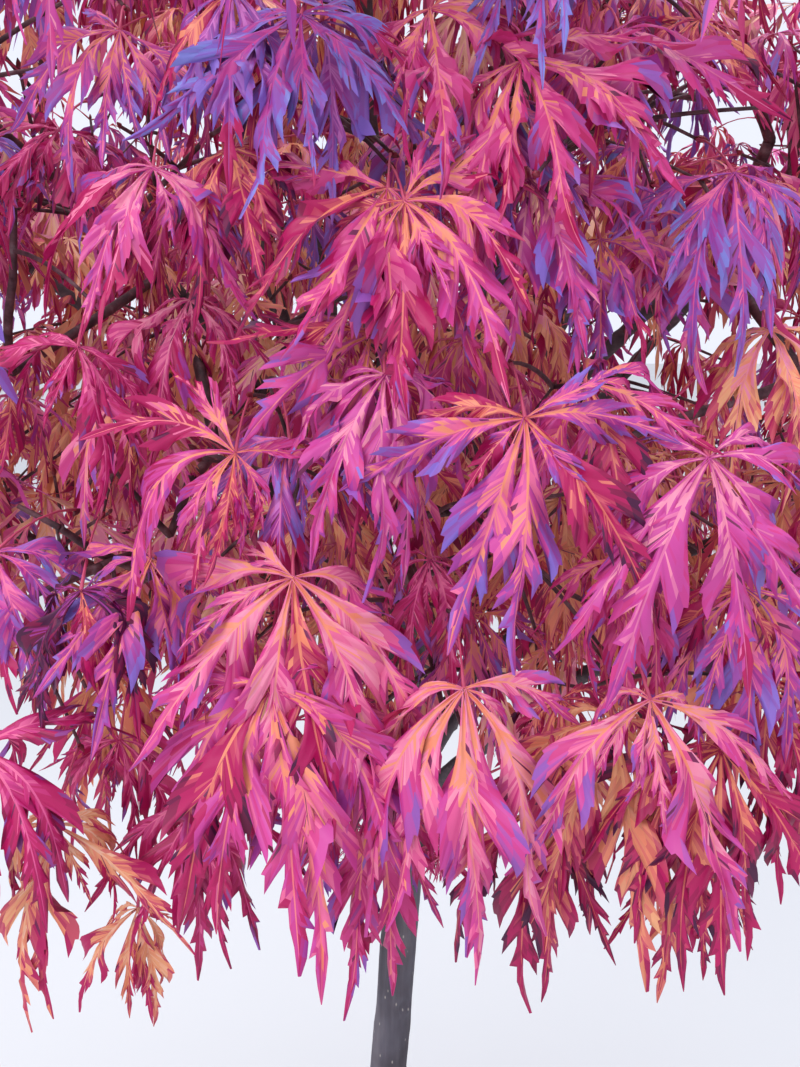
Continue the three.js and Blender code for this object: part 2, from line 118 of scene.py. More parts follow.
# Twigs: one stem to a mass, side twigs in pairs, then finer twigs. Two numbers are a least and its play
STEM = {"length": 0.238, "trim": 0.94, "root": 0.0042, "tip": 0.0018, "lift": -0.008}
TWIG = {"seed": 977, "forks": (0.2, 0.48, 0.76), "length": 0.148, "shorten": 0.3, "play": 0.15, "least": 0.3}
TWIG.update({"root": 0.0026, "tip": 0.0013, "splay": 54, "splay_play": 8, "roll_play": 20})
FINE_TWIG = {"forks": (0.26, 0.5, 0.74), "length": 0.066, "root": 0.0014, "tip": 0.0009, "splay": 48}
SPUR = {"forks": (0.42, 0.56, 0.7, 0.84), "length": 0.085, "root": 0.0017, "tip": 0.001, "splay": 62}
FINE_PLAY = {"roll": 25, "splay": 12, "length": (0.7, 0.6), "rise": 0.15, "lift": -0.08}
SHOOT = {"root": 0.0015, "tip": 0.001, "length": (0.018, 0.030), "rise": (0.3, 0.9)}
GRAFT_SHOOTS = {"count": 13, "facing": -70, "spread": 150, "play": 0.016, "sunk": 0.8}
GRAFT_SHOOTS["leaves_at"] = (0.7, 1.0)
GRAFT_LEAF = {"lobe": 0.026, "size": (0.7, 0.6), "fan": 0.7, "stalk": 0.016, "lift": 0.4}
GRAFT_LEAF.update({"dip": (0.6, 1), "lie": 0.8, "bend": 0.6})
TUBE_END = 0.02
NEARLY_UPRIGHT = 0.3

# A lobe's two edges from foot to tip, as shares of its length: a place on the midrib, then how far along and
# out lies the point of the edge that it carries. Each edge is a wedge and three teeth.
LEFT_EDGE = np.array([
    (0, 0, 0.006), (0.06, 0.06, 0.008), (0.12, 0.125, 0.012), (0.17, 0.185, 0.018), (0.21, 0.235, 0.027),
    (0.25, 0.285, 0.039), (0.28, 0.33, 0.053), (0.31, 0.37, 0.067), (0.33, 0.41, 0.081),
    (0.343, 0.44, 0.093), (0.354, 0.47, 0.103), (0.366, 0.505, 0.113), (0.376, 0.545, 0.121),
    (0.384, 0.55, 0.108), (0.392, 0.59, 0.111), (0.399, 0.625, 0.110), (0.405, 0.665, 0.106),
    (0.411, 0.61, 0.084), (0.417, 0.565, 0.058), (0.424, 0.515, 0.033), (0.45, 0.485, 0.018),
    (0.50, 0.54, 0.019), (0.545, 0.60, 0.028), (0.58, 0.65, 0.043), (0.602, 0.685, 0.057),
    (0.618, 0.72, 0.067), (0.628, 0.725, 0.058), (0.638, 0.78, 0.062), (0.646, 0.735, 0.040),
    (0.66, 0.70, 0.018), (0.71, 0.745, 0.018), (0.76, 0.80, 0.030), (0.782, 0.845, 0.041),
    (0.80, 0.835, 0.018), (0.85, 0.885, 0.020), (0.91, 0.94, 0.014), (1, 1, 0.001),
])
RIGHT_EDGE = np.array([
    (0, 0, 0.006), (0.06, 0.06, 0.009), (0.11, 0.12, 0.015), (0.15, 0.175, 0.025), (0.18, 0.225, 0.039),
    (0.205, 0.275, 0.057), (0.228, 0.325, 0.079), (0.247, 0.375, 0.102), (0.262, 0.42, 0.123),
    (0.270, 0.458, 0.141), (0.276, 0.462, 0.130), (0.282, 0.50, 0.142), (0.288, 0.53, 0.147),
    (0.294, 0.562, 0.149), (0.300, 0.562, 0.134), (0.304, 0.595, 0.134), (0.308, 0.635, 0.128),
    (0.313, 0.56, 0.098), (0.318, 0.49, 0.063), (0.328, 0.42, 0.034), (0.36, 0.385, 0.019),
    (0.40, 0.44, 0.020), (0.44, 0.50, 0.029), (0.475, 0.55, 0.045), (0.497, 0.595, 0.063),
    (0.512, 0.64, 0.079), (0.522, 0.645, 0.069), (0.533, 0.712, 0.072), (0.543, 0.655, 0.044),
    (0.56, 0.61, 0.018), (0.62, 0.66, 0.019), (0.67, 0.715, 0.031), (0.70, 0.765, 0.045),
    (0.72, 0.765, 0.018), (0.80, 0.845, 0.024), (0.88, 0.91, 0.015), (1, 1, 0.001),
])
# The first row of each tooth
TOOTH_ROWS = (8, 20, 29)
RIB_STEPS = np.linspace(0, 1, 19)
# A rib's half width as a share of its lobe, how much it narrows to the tip, and what of it the edge keeps
RIB = {"half": 0.006, "narrows": 0.85, "edge": 0.15}
CRINKLE = {"height": 0.0062, "along": 52.0, "out": 120.0, "mean": 1.2}
LOBE_TURNS = np.radians([-128, -92, -60, -29, 0, 29, 60, 92, 128])
LOBE_SHARES = np.array([0.5, 0.74, 0.9, 0.98, 1.0, 0.98, 0.9, 0.74, 0.5])


def both_hands(*shares):
    """Columns of a blade's corners as a hand and a share of the way out, from edge over rib to edge."""
    return [(-1, share) for share in shares] + [(1, share) for share in reversed(shares)]


# Three finenesses of blade: rows along a lobe, and columns across it
SHOWING_BLADE = {"rows": list(range(37)), "columns": both_hands(1.0, 0.72, 0.4, 0.0), "ribbed": True}
NEAR_BLADE = {"columns": both_hands(1.0, 0.5, 0.0), "ribbed": True}
NEAR_BLADE["rows"] = [row for row in range(37) if row not in (1, 3, 5, 7, 10, 14, 17, 19, 21, 23, 30, 35)]
FAR_BLADE = {"columns": [(-1, 1.0), (0, 0.0), (1, 1.0)], "ribbed": False}
FAR_BLADE["rows"] = [0, 3, 6, 8, 11, 13, 16, 20, 24, 27, 29, 32, 36]
# How much wider and flatter than the others the lobes of the front leaves are
SHOWING_LOBE = {"wider": 1.3, "flatter": 0.7}

# How the lobes of a leaf vary: the least and the most of each
LOBE_PLAY = {"turns": (-0.25, 0.25), "lengths": (0.8, 1.1), "widths": (0.66, 1.02), "bends": (0.55, 1.35)}
LOBE_PLAY.update({"sways": (-0.65, 0.65), "twists": (-1.2, 1.2), "folds": (-0.75, 0.55)})
LOBE_PLAY.update({"curls": (-0.9, 0.5), "waves": (-0.8, 0.8), "phases": (0, math.tau)})
MOST_BEND = 0.98
STUNTED = {"share": 0.14, "length": 0.5}
# A lobe from hub to tip: how its sway and twist grow, how soon it hangs, its ripples and its curling tip
LOBE_LINE = {"sway": 1.3, "twist": 1.5, "hang": 1.3, "ripples": 13, "curl_from": 0.6}
LOBE_LINE.update({"tooth_fold": 0.3, "seed": 29})

# Where a leaf goes at a twig, in metres and degrees
LEAF = {"lobe": 0.088, "lobe_play": 0.012, "stalk": 0.05, "stalk_play": 0.012, "apart": 0.050}
LEAF.update({"along_twig": 0.5, "outward": 0.6, "turn": (12, 70), "dip": (-30, 50), "hang": (20, 50)})
LEAF.update({"bend": (0.55, 0.35), "shrink": 0.96, "tries": 7, "places": (0.99, 0.55)})
STALK = {"arch": 0.14, "sides": 5, "steps": (0, 0.25, 0.5, 0.75, 1)}
STALK["radii"] = (0.0010, 0.0006, 0.0006, 0.0006, 0.0011)

# The tone of a face, in steps of its spray: what it gains out from the rib, along the lobe and at the edge
TONE = {"foot": 0.92, "out": 1.3, "full_out": 0.11, "along": 2.1, "from": 0.25, "span": 0.65}
TONE.update({"edge": 1.2, "rib": 0.8})
# Blotches: strength, then waves along and out of two crossing patterns
BLOTCHES = [(0.6, (11, 0), (0, 30)), (0.65, (40, 50), (25, -90)), (0.45, (75, -40), (60, 130))]
PALE_FACES = {"gain": 1.6, "share": 0.1, "within": 0.06}
TONE_PLAY = {"face": 0.4, "tooth": 0.75, "tooth_from": 0.05, "lobe": 0.35, "seed": 11}
# Shares of lobes that show their red underside, of red tips that curl over, and of dark spots
TURNED_LOBES = 0.09
CURLED_TIPS = {"share": 0.25, "from": 0.68, "play": 0.16, "past_zone": 2}
SPOT_SHARE = 0.012

# Camera at the photograph's angle
CAMERA = {"place": (0.0, -1.03, 1.25), "tilt": -10, "upright_view": 50, "sensor": 36, "clip": 0.02}
PHOTO = {"width": 800, "height": 1067}

# Floor, sky, and soft lights as place, target, size, power and colour
FLOOR = {"size": 90, "colour": (0.72, 0.72, 0.71, 1), "roughness": 0.8}
SKY = {"colour": (0.85, 0.88, 1.0, 1), "strength": 1.04}
LIGHTS = {
    "key_light": ((-1.6, -2.4, 3.4), (0, 0, 1.2), 2.6, 56, (1.0, 0.98, 1.0)),
    "top_light": ((0.3, 0.4, 4.0), (0, 0, 1.3), 2.6, 60, (0.92, 0.95, 1.0)),
}

SEEDS = {"growth": 2711, "front": 5, "graft": 88, "buds": 61}
# Meshes of small limbs, and buds: places and radii as shares of their length, and their lengths
TWIG_MESH = {"sides": 6, "steps": 5}
BRANCH_MESH = {"sides": 12, "steps": 12}
BUD = {"places": (0, 0.3, 0.6, 1), "radii": (0.16, 0.3, 0.24, 0.03), "sides": 5, "sunk": 0.0006, "rise": 0.3}
BUD.update({"side_rise": 0.03, "end_length": (0.004, 0.003), "side_length": (0.003, 0.002)})
# Where boughs and twigs are tried for the nearest place to branch from, as shares of their length
BOUGH_SAMPLES = np.linspace(0.1, 1, 30)
TWIG_SAMPLES = (0, 0.35, 0.7, 1)


def seeded(seed):
    state = seed & 0xFFFFFFFF

    def draw():
        nonlocal state
        state = (state * 1664525 + 1013904223) & 0xFFFFFFFF
        return state / 4294967296

    return draw


def play(draw, most):
    """A drawn value from -most to most."""
    return most * (2 * draw() - 1)


def drawn(draw, least, more):
    """A drawn value from least up to more above it."""
    return least + more * draw()


def relief(kind, place, sunk=0.0):
    """How far a surface stands out at a place."""
    height, scale, *shape = RELIEF[kind]
    return height * (noise.fractal(Vector([at * by for at, by in zip(place, scale)]), *shape) - sunk)


def hump(distance, span):
    """1 at no distance, falling away over a span."""
    return math.exp(-((distance / span) ** 2))


def unit(v):
    return v / np.linalg.norm(v)


def polar(reach, angle, height):
    return np.array([reach * math.cos(angle), reach * math.sin(angle), height])


def bezier(curve, t):
    a, b, c = curve
    return (1 - t) ** 2 * a + 2 * (1 - t) * t * b + t * t * c


def bezier_way(curve, t):
    a, b, c = curve
    return unit((1 - t) * (b - a) + t * (c - b))


def turned(v, angle):
    """v turned about the upright axis."""
    cos, sin = math.cos(angle), math.sin(angle)
    return np.array([cos * v[0] - sin * v[1], sin * v[0] + cos * v[1], v[2]])


def linear(red, green, blue):
    def channel(value):
        share = value / 255
        return share / 12.92 if share <= 0.04045 else ((share + 0.055) / 1.055) ** 2.4

    return (channel(red), channel(green), channel(blue), 1.0)


# Tree skeleton, by the same rule as the solids
TRUNK_FOOT = SOIL["top"] - TRUNK["spare"]


def trunk_curve():
    foot = np.array([*TRUNK["foot"], TRUNK_FOOT])
    fork = np.array([*TRUNK["fork"], TRUNK["fork_height"]])
    middle = (foot + fork) / 2 + np.array([TRUNK["bow"], 0, 0])
    return foot, middle, fork


def up_trunk(height):
    """The share of the trunk that lies below a height."""
    return (height - TRUNK_FOOT) / (TRUNK["fork_height"] - TRUNK_FOOT)


def trunk_point(height):
    return bezier(trunk_curve(), up_trunk(height))


def trunk_radius(height, angle=0.0):
    ridges = 1 + FLARE_RIDGE_SHARE * math.cos(FLARE_RIDGES * angle)
    flare = TRUNK["flare"] * ridges * math.exp(-max(height - SOIL["top"], 0) / TRUNK["flare_height"])
    graft = GRAFT["swell"] * hump(height - GRAFT["height"], GRAFT["span"])
    taper = (TRUNK["fork_radius"] - TRUNK["foot_radius"]) * up_trunk(height)
    return TRUNK["foot_radius"] + taper + flare + graft


def mass_centres():
    draw = seeded(TIER_PLAY["seed"])
    masses = []
    for tier in TIERS:
        for k in range(tier["count"]):
            angle = math.radians(tier["turn"] + play(draw, TIER_PLAY["turn"])) + k * math.tau / tier["count"]
            reach = tier["reach"] + play(draw, TIER_PLAY["reach"])
            centre = polar(reach, angle, tier["height"] + play(draw, TIER_PLAY["height"]))
            label = f"{tier['name']}_{k + 1}" if tier["count"] > 1 else tier["name"]
            masses.append({"tier": tier["name"], "k": k, "angle": angle, "label": label, "centre": centre})
    return masses


def make_boughs(masses):
    """The bough of each mass: its curve and its thickness at root and tip."""
    boughs = []

    def add(mass, start, bend, end, size):
        boughs.append({"mass": mass, "curve": (start, bend, end), "size": size, "number": len(boughs)})

    def of_tier(name):
        return [mass for mass in masses if mass["tier"] == name]

    for mass in of_tier("high"):
        start = trunk_point(LEADER["first"] + LEADER["step"] * mass["k"])
        bend = start + polar(LEADER["out"], mass["angle"], LEADER["rise"])
        end = mass["centre"] + polar(-BOUGH_SHORT * LEADER["short"], mass["angle"], -BOUGH_SHORT)
        add(mass, start, bend, end, LEADER)
    leaders = list(boughs)
    for mass in of_tier("top"):
        start = trunk_point(TRUNK["fork_height"])
        end = mass["centre"] - BOUGH_SHORT * UP
        bend = (start + end) / 2 + polar(TOP_LEADER["sway"], mass["angle"], 0)
        add(mass, start, bend, end, TOP_LEADER)
    for mass in of_tier("low"):
        pair = LOW_BOUGH["order"][mass["k"] % len(LOW_BOUGH["order"])]
        start = trunk_point(LOW_BOUGH["first"] + pair * LOW_BOUGH["step"])
        end = mass["centre"] + polar(-BOUGH_SHORT, mass["angle"], 0)
        add(mass, start, (start + end) / 2 + LOW_BOUGH["rise"] * UP, end, LOW_BOUGH)
    for mass in of_tier("middle"):
        leader = leaders[mass["k"] // 2]
        start = bezier(leader["curve"], MIDDLE_BOUGH["forks"][mass["k"] % 2])
        end = mass["centre"] + polar(-BOUGH_SHORT, mass["angle"], 0)
        bend = start + (end - start) * MIDDLE_BOUGH["bend_at"] + MIDDLE_BOUGH["rise"] * UP
        add(mass, start, bend, end, MIDDLE_BOUGH)
    return boughs


def inside_crown(points):
    """True for each point inside the crown's outline."""
    out = np.hypot(points[..., 0] / CROWN["x"], points[..., 1] / CROWN["y"])
    above = points[..., 2] - CROWN["middle"]
    over = out**ROUNDNESS + np.maximum(above / CROWN["rise"], 0) ** ROUNDNESS <= 1
    under = out**FLATNESS + np.maximum(-above / CROWN["fall"], 0) ** FLATNESS <= 1
    return np.where(above > 0, over, under)


def nearest_mass(point, centres):
    return int(np.argmin(((centres - point) ** 2).sum(axis=1)))


# Meshes made from arrays
def add_object(name, data):
    """A new object in the scene."""
    added = bpy.data.objects.new(name, data)
    bpy.context.scene.collection.objects.link(added)
    return added


def mesh_piece(name, corners, faces, materials, shades=None, smooth=True):
    """One object from corner places and equal-sided faces, with a material number for each face."""
    mesh = bpy.data.meshes.new(name)
    sides = faces.shape[1]
    mesh.vertices.add(len(corners))
    mesh.vertices.foreach_set("co", np.ascontiguousarray(corners, dtype=np.float32).ravel())
    mesh.loops.add(faces.size)
    mesh.loops.foreach_set("vertex_index", np.ascontiguousarray(faces, dtype=np.int32).ravel())
    mesh.polygons.add(len(faces))
    mesh.polygons.foreach_set("loop_start", np.arange(0, faces.size, sides, dtype=np.int32))
    mesh.polygons.foreach_set("use_smooth", np.full(len(faces), smooth))
    for material in materials:
        mesh.materials.append(material)
    if shades is not None:
        mesh.polygons.foreach_set("material_index", np.ascontiguousarray(shades, dtype=np.int32))
    mesh.update(calc_edges=True)
    mesh.validate()
    return add_object(name, mesh)


def tube(points, radii, sides):
    """Corners and four-sided faces of a limb along points; its ends are drawn in and closed."""
    points = np.asarray(points, dtype=float)
    radii = np.asarray(radii, dtype=float)
    ways = np.gradient(points, axis=0)
    ways /= np.linalg.norm(ways, axis=1)[:, None]
    points = np.vstack([points[:1], points, points[-1:]])
    ways = np.vstack([ways[:1], ways, ways[-1:]])
    radii = np.concatenate([[radii[0] * TUBE_END], radii, [radii[-1] * TUBE_END]])
    chord = unit(points[-1] - points[0])
    across = np.cross(chord, UP)
    if np.linalg.norm(across) < NEARLY_UPRIGHT:
        across = np.array([0.0, 1.0, 0.0])
    first = across - (ways @ across)[:, None] * ways
    first /= np.linalg.norm(first, axis=1)[:, None]
    second = np.cross(ways, first)
    angles = np.arange(sides) * math.tau / sides
    cos, sin = np.cos(angles)[None, :, None], np.sin(angles)[None, :, None]
    ring = cos * first[:, None, :] + sin * second[:, None, :]
    corners = points[:, None, :] + radii[:, None, None] * ring
    rows = np.arange(len(points) - 1)[:, None] * sides
    here = np.arange(sides)[None, :]
    after = (here + 1) % sides
    faces = np.stack([rows + here, rows + after, rows + sides + after, rows + sides + here], axis=-1)
    return corners.reshape(-1, 3), faces.reshape(-1, 4)


def joined(parts):
    """Corners and faces of several parts as one."""
    corners, faces, start = [], [], 0
    for part_corners, part_faces in parts:
        corners.append(part_corners)
        faces.append(part_faces + start)
        start += len(part_corners)
    return np.vstack(corners), np.vstack(faces)


def dress(piece, slot, *nodes):
    """The piece rides on the tree's one body, in place of the nodes named. The slot is not used."""
    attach(piece, "root")
    if nodes:
        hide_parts(*nodes)


def deselect_all():
    bpy.ops.object.select_all(action="DESELECT")


def only(piece):
    """Make piece the active object and the only one selected."""
    deselect_all()
    piece.select_set(True)
    bpy.context.view_layer.objects.active = piece


# Materials
def plain_material(name, colour, roughness, specular=0.5):
    material = bpy.data.materials.new(name)
    material.use_nodes = True
    shader = material.node_tree.nodes["Principled BSDF"]
    shader.inputs["Base Color"].default_value = colour
    shader.inputs["Roughness"].default_value = roughness
    shader.inputs["Specular IOR Level"].default_value = specular
    return material


class Nodes:
    """A material's node tree, built a node at a time."""

    def __init__(self, name, roughness=0.6, specular=0.5):
        self.material = plain_material(name, (0.5, 0.5, 0.5, 1), roughness, specular)
        self.tree = self.material.node_tree
        self.shader = self.tree.nodes["Principled BSDF"]
        self.place = self.add("ShaderNodeTexCoord").outputs["Object"]

    def add(self, kind, inputs=()):
        node = self.tree.nodes.new(kind)
        self.fill(node, dict(inputs))
        return node

    def fill(self, node, inputs):
        """Set a node's inputs, by name or number, to values or join them to other nodes' outputs."""
        for socket, value in inputs.items():
            if isinstance(value, bpy.types.NodeSocket):
                self.tree.links.new(value, node.inputs[socket])
            else:
                node.inputs[socket].default_value = value

    def stretched(self, scale):
        return self.add("ShaderNodeMapping", {"Scale": scale, "Vector": self.place}).outputs["Vector"]

    def noise(self, scale, detail=4, roughness=0.55, vector=None):
        inputs = {"Scale": scale, "Detail": detail, "Roughness": roughness, "Vector": vector or self.place}
        return self.add("ShaderNodeTexNoise", inputs).outputs["Fac"]

    def cells(self, scale, vector=None):
        inputs = {"Scale": scale, "Vector": vector or self.place}
        return self.add("ShaderNodeTexVoronoi", inputs).outputs["Distance"]

    def ramp(self, value, *stops):
        """A ramp of colours. A stop is its place, then red, green and blue of 255 or one share of white."""
        node = self.add("ShaderNodeValToRGB", {"Fac": value})
        elements = node.color_ramp.elements
        while len(elements) < len(stops):
            elements.new(0.5)
        for element, (position, *tint) in zip(elements, stops):
            element.position = position
            element.color = linear(*tint) if len(tint) == 3 else (*tint * 3, 1.0)
        return node.outputs["Color"]

    def mix(self, share, first, second, blend="MIX"):
        node = self.add("ShaderNodeMix")
        node.data_type = "RGBA"
        node.blend_type = blend
        self.fill(node, {0: share, 6: first, 7: second})
        return node.outputs[2]

    def sum(self, first, second, share=1.0):
        node = self.add("ShaderNodeMath")
        node.operation = "MULTIPLY_ADD"
        self.fill(node, {0: second, 1: share, 2: first})
        return node.outputs[0]

    def colour(self, source):
        self.fill(self.shader, {"Base Color": source})

    def rough(self, value, low, high):
        node = self.add("ShaderNodeMapRange", {"To Min": low, "To Max": high, "Value": value})
        self.fill(self.shader, {"Roughness": node.outputs["Result"]})

    def bump(self, height, strength, distance):
        node = self.add("ShaderNodeBump", {"Strength": strength, "Distance": distance, "Height": height})
        self.fill(self.shader, {"Normal": node.outputs["Normal"]})


def trunk_bark():
    """Smooth blue-grey bark with upright streaks, pale breathing pores and darker weathered bands."""
    nodes = Nodes("trunk_bark", roughness=0.75, specular=0.25)
    streaks = nodes.noise(60, detail=6, vector=nodes.stretched((1, 1, 0.12)))
    patches = nodes.noise(14, detail=3)
    pores = nodes.cells(150, vector=nodes.stretched((1, 1, 0.45)))
    base = nodes.ramp(streaks, (0.3, 50, 46, 52), (0.5, 88, 84, 92), (0.72, 130, 124, 128))
    weather = nodes.ramp(patches, (0.4, 64, 54, 56), (0.62, 114, 110, 120))
    mixed = nodes.mix(0.4, base, weather)
    pale = nodes.ramp(pores, (0.05, 1.0), (0.14, 0.0))
    nodes.colour(nodes.mix(pale, mixed, linear(176, 168, 160)))
    nodes.rough(streaks, 0.6, 0.85)
    nodes.bump(nodes.sum(streaks, pores, -0.4), 0.5, 0.0012)
    return nodes.material


def bough_bark():
    """Darker bark of the boughs, grey-brown with a plum cast."""
    nodes = Nodes("bough_bark", roughness=0.7, specular=0.3)
    fine = nodes.noise(190, detail=5)
    broad = nodes.noise(26, detail=3)
    base = nodes.ramp(fine, (0.3, 46, 36, 44), (0.55, 84, 70, 76), (0.75, 122, 110, 112))
    tone = nodes.ramp(broad, (0.38, 58, 42, 50), (0.64, 108, 102, 108))
    nodes.colour(nodes.mix(0.45, base, tone))
    nodes.rough(broad, 0.55, 0.8)
    nodes.bump(fine, 0.45, 0.0008)
    return nodes.material


def pot_plastic():
    """Black moulded plastic, a little dusty, with fine grain and scuffed patches."""
    nodes = Nodes("pot_plastic", roughness=0.5, specular=0.45)
    grain = nodes.noise(900, detail=2)
    scuffs = nodes.noise(9, detail=8, roughness=0.7, vector=nodes.stretched((1, 1, 2.2)))
    dust = nodes.noise(34, detail=5, roughness=0.65)
    base = nodes.ramp(scuffs, (0.4, 24, 25, 27), (0.62, 38, 39, 41), (0.8, 58, 58, 58))
    dusty = nodes.ramp(dust, (0.5, 0.0), (0.8, 0.16))
    nodes.colour(nodes.mix(dusty, base, linear(96, 88, 78)))
    nodes.rough(scuffs, 0.36, 0.66)
    nodes.bump(grain, 0.25, 0.0004)
    return nodes.material


def twig_bark():
    """Young bark, dark plum with paler grey skin in places."""
    nodes = Nodes("twig_bark", roughness=0.55, specular=0.35)
    tone = nodes.noise(120, detail=3)
    nodes.colour(nodes.ramp(tone, (0.38, 62, 34, 42), (0.6, 104, 64, 72), (0.75, 128, 104, 108)))
    nodes.bump(tone, 0.3, 0.0004)
    return nodes.material


def bud_skin():
    """Dark red bud scales."""
    nodes = Nodes("bud_skin", roughness=0.4, specular=0.45)
    nodes.colour(nodes.ramp(nodes.noise(260, detail=2), (0.4, 92, 14, 32), (0.65, 158, 34, 58)))
    return nodes.material


def chip_wood():
    """Weathered bark chips, from pale tan to dark brown."""
    nodes = Nodes("chip_wood", roughness=0.85, specular=0.2)
    tone = nodes.noise(70, detail=5)
    fibre = nodes.noise(600, detail=3, vector=nodes.stretched((1, 0.25, 1)))
    base = nodes.ramp(tone, (0.35, 66, 44, 32), (0.5, 112, 78, 54), (0.68, 160, 124, 90))
    nodes.colour(nodes.mix(0.35, base, nodes.ramp(fibre, (0.4, 0.1), (0.6, 0.5)), "MULTIPLY"))
    nodes.bump(fibre, 0.5, 0.0006)
    return nodes.material


def grit_stone():
    """Pale grit and fertiliser grains."""
    nodes = Nodes("grit_stone", roughness=0.7, specular=0.4)
    tone = nodes.noise(90, detail=3)
    nodes.colour(nodes.ramp(tone, (0.4, 150, 144, 134), (0.62, 214, 208, 196)))
    nodes.bump(tone, 0.2, 0.0004)
    return nodes.material


def potting_mix():
    """Dark moist potting mix, crumbly, with pale fibres and grit."""
    nodes = Nodes("potting_mix", roughness=0.95, specular=0.15)
    crumbs = nodes.cells(130)
    fibre = nodes.noise(260, detail=6, vector=nodes.stretched((1, 0.3, 1)))
    patches = nodes.noise(24, detail=4)
    base = nodes.ramp(patches, (0.35, 34, 24, 18), (0.6, 66, 48, 36), (0.8, 88, 66, 48))
    pale = nodes.ramp(fibre, (0.62, 0.0), (0.74, 0.7))
    nodes.colour(nodes.mix(pale, base, linear(138, 112, 82)))
    nodes.rough(patches, 0.85, 1.0)
    nodes.bump(nodes.sum(crumbs, fibre, 0.5), 0.8, 0.002)
    return nodes.material


# Leaf tints, as plain colours
TINTS = {
    "peach": (250, 192, 160),
    "amber": (244, 172, 126),
    "ochre": (222, 138, 108),
    "orange": (242, 144, 112),
    "salmon": (240, 140, 168),
    "coral": (234, 106, 152),
    "hot_pink": (204, 68, 151),
    # A pale lavender that paints the sky's sheen into the leaf colour: painted sheen
    "orchid": (208, 116, 194),
    "rose_red": (206, 52, 128),
    "magenta": (166, 54, 148),
    "plum": (148, 82, 172),
    "violet": (136, 102, 196),
    "blue_violet": (126, 128, 206),
    "brick": (208, 82, 102),
    "crimson": (182, 10, 90),
    "deep_red": (136, 0, 68),
    "burgundy": (76, 4, 60),
    "spot": (116, 26, 78),
}

# The tints of each kind of spray, from a leaf's rib out to its edges and tips
SPRAYS = {
    # The violet sprays paint a bluish sky reflection into the colour of well lit leaves: painted reflection
    "violet": [
        "coral orchid magenta plum violet blue_violet",
        "hot_pink magenta plum violet blue_violet blue_violet",
        "orchid magenta plum plum violet violet",
        "coral hot_pink magenta plum plum blue_violet",
    ],
    "pink": [
        "salmon hot_pink hot_pink rose_red magenta violet",
        "orange coral rose_red rose_red crimson plum",
        "orange coral hot_pink magenta plum violet",
        "salmon coral hot_pink rose_red magenta violet",
    ],
    "salmon": [
        "orange coral hot_pink hot_pink rose_red plum",
        "orange coral rose_red hot_pink crimson magenta",
        "orange salmon coral rose_red hot_pink plum",
    ],
    "red": [
        "salmon coral rose_red crimson crimson magenta",
        "orange brick crimson crimson deep_red burgundy",
        "coral rose_red crimson crimson deep_red plum",
    ],
    "maroon": ["magenta deep_red burgundy burgundy deep_red burgundy"],
    # Bright peach tints for shaded inner leaves: painted light shining through them
    "glowing": [
        "peach peach salmon salmon coral rose_red",
        "peach amber peach orange rose_red crimson",
        "amber peach salmon coral rose_red magenta",
    ],
    # Amber leaf colour, brightened for the shaded inner leaves as painted light shining through
    "amber": [
        "peach amber orange brick crimson crimson",
        "amber ochre orange brick crimson deep_red",
        "salmon orange amber brick crimson crimson",
        "orange amber ochre rose_red crimson deep_red",
    ],
}

# The kinds of spray that leaves pick from, each with the least light of its part of the crown
# Painted light: lit outer leaves take violet, a painted sky reflection; shaded inner ones take bright tints,
# a painted glow
KINDS_BY_LIGHT = [
    (0.86, "violet violet violet pink pink"),
    (0.7, "violet pink pink salmon red"),
    (0.56, "pink salmon amber glowing amber"),
    (-math.inf, "amber glowing glowing amber"),
]
# How much more light a place gets outward and upward, from a height and over a span, and its play
LIGHT = {"out": 0.7, "up": 0.55, "from": 1.0, "span": 0.8, "play": 0.15}
UNDERSIDE = SPRAYS["red"][1]
LEAF_SKIN = {"roughness": 0.45, "specular": 0.45}


def blend_steps(spray):
    """The pairs of tints that a spray runs through: each tint itself, and halfway to the next."""
    tints = spray.split()
    steps = []
    for tint, after in zip(tints, (*tints[1:], tints[-1])):
        steps += [(tint, tint), tuple(sorted((tint, after)))]
    return steps[:-1]


def all_blends():
    """Every tint and halfway tint in use, in a fixed order."""
    found = {}
    for sprays in SPRAYS.values():
        for spray in sprays:
            for pair in blend_steps(spray):
                found.setdefault(pair, len(found))
    found.setdefault(("spot", "spot"), len(found))
    return found


BLENDS = all_blends()
ZONES = 11


def leaf_materials():
    materials = []
    for first, second in BLENDS:
        ends = np.array([linear(*TINTS[first]), linear(*TINTS[second])])
        name = f"leaf_{first}" if first == second else f"leaf_{first}_{second}"
        materials.append(plain_material(name, tuple(ends.mean(axis=0)), **LEAF_SKIN))
    return materials


# Leaves
def pick(draw, choices):
    return choices[int(draw() * len(choices)) % len(choices)]


def spray_for(point, draw):
    """The spray of tints that a leaf takes by the light at its place in the crown: painted light."""
    out = math.hypot(point[0] / CROWN["x"], point[1] / CROWN["y"])
    height = (point[2] - LIGHT["from"]) / LIGHT["span"]
    light = LIGHT["out"] * out + LIGHT["up"] * height + play(draw, LIGHT["play"])
    kinds = next(kinds for least, kinds in KINDS_BY_LIGHT if light > least)
    return pick(draw, SPRAYS[pick(draw, kinds.split())])


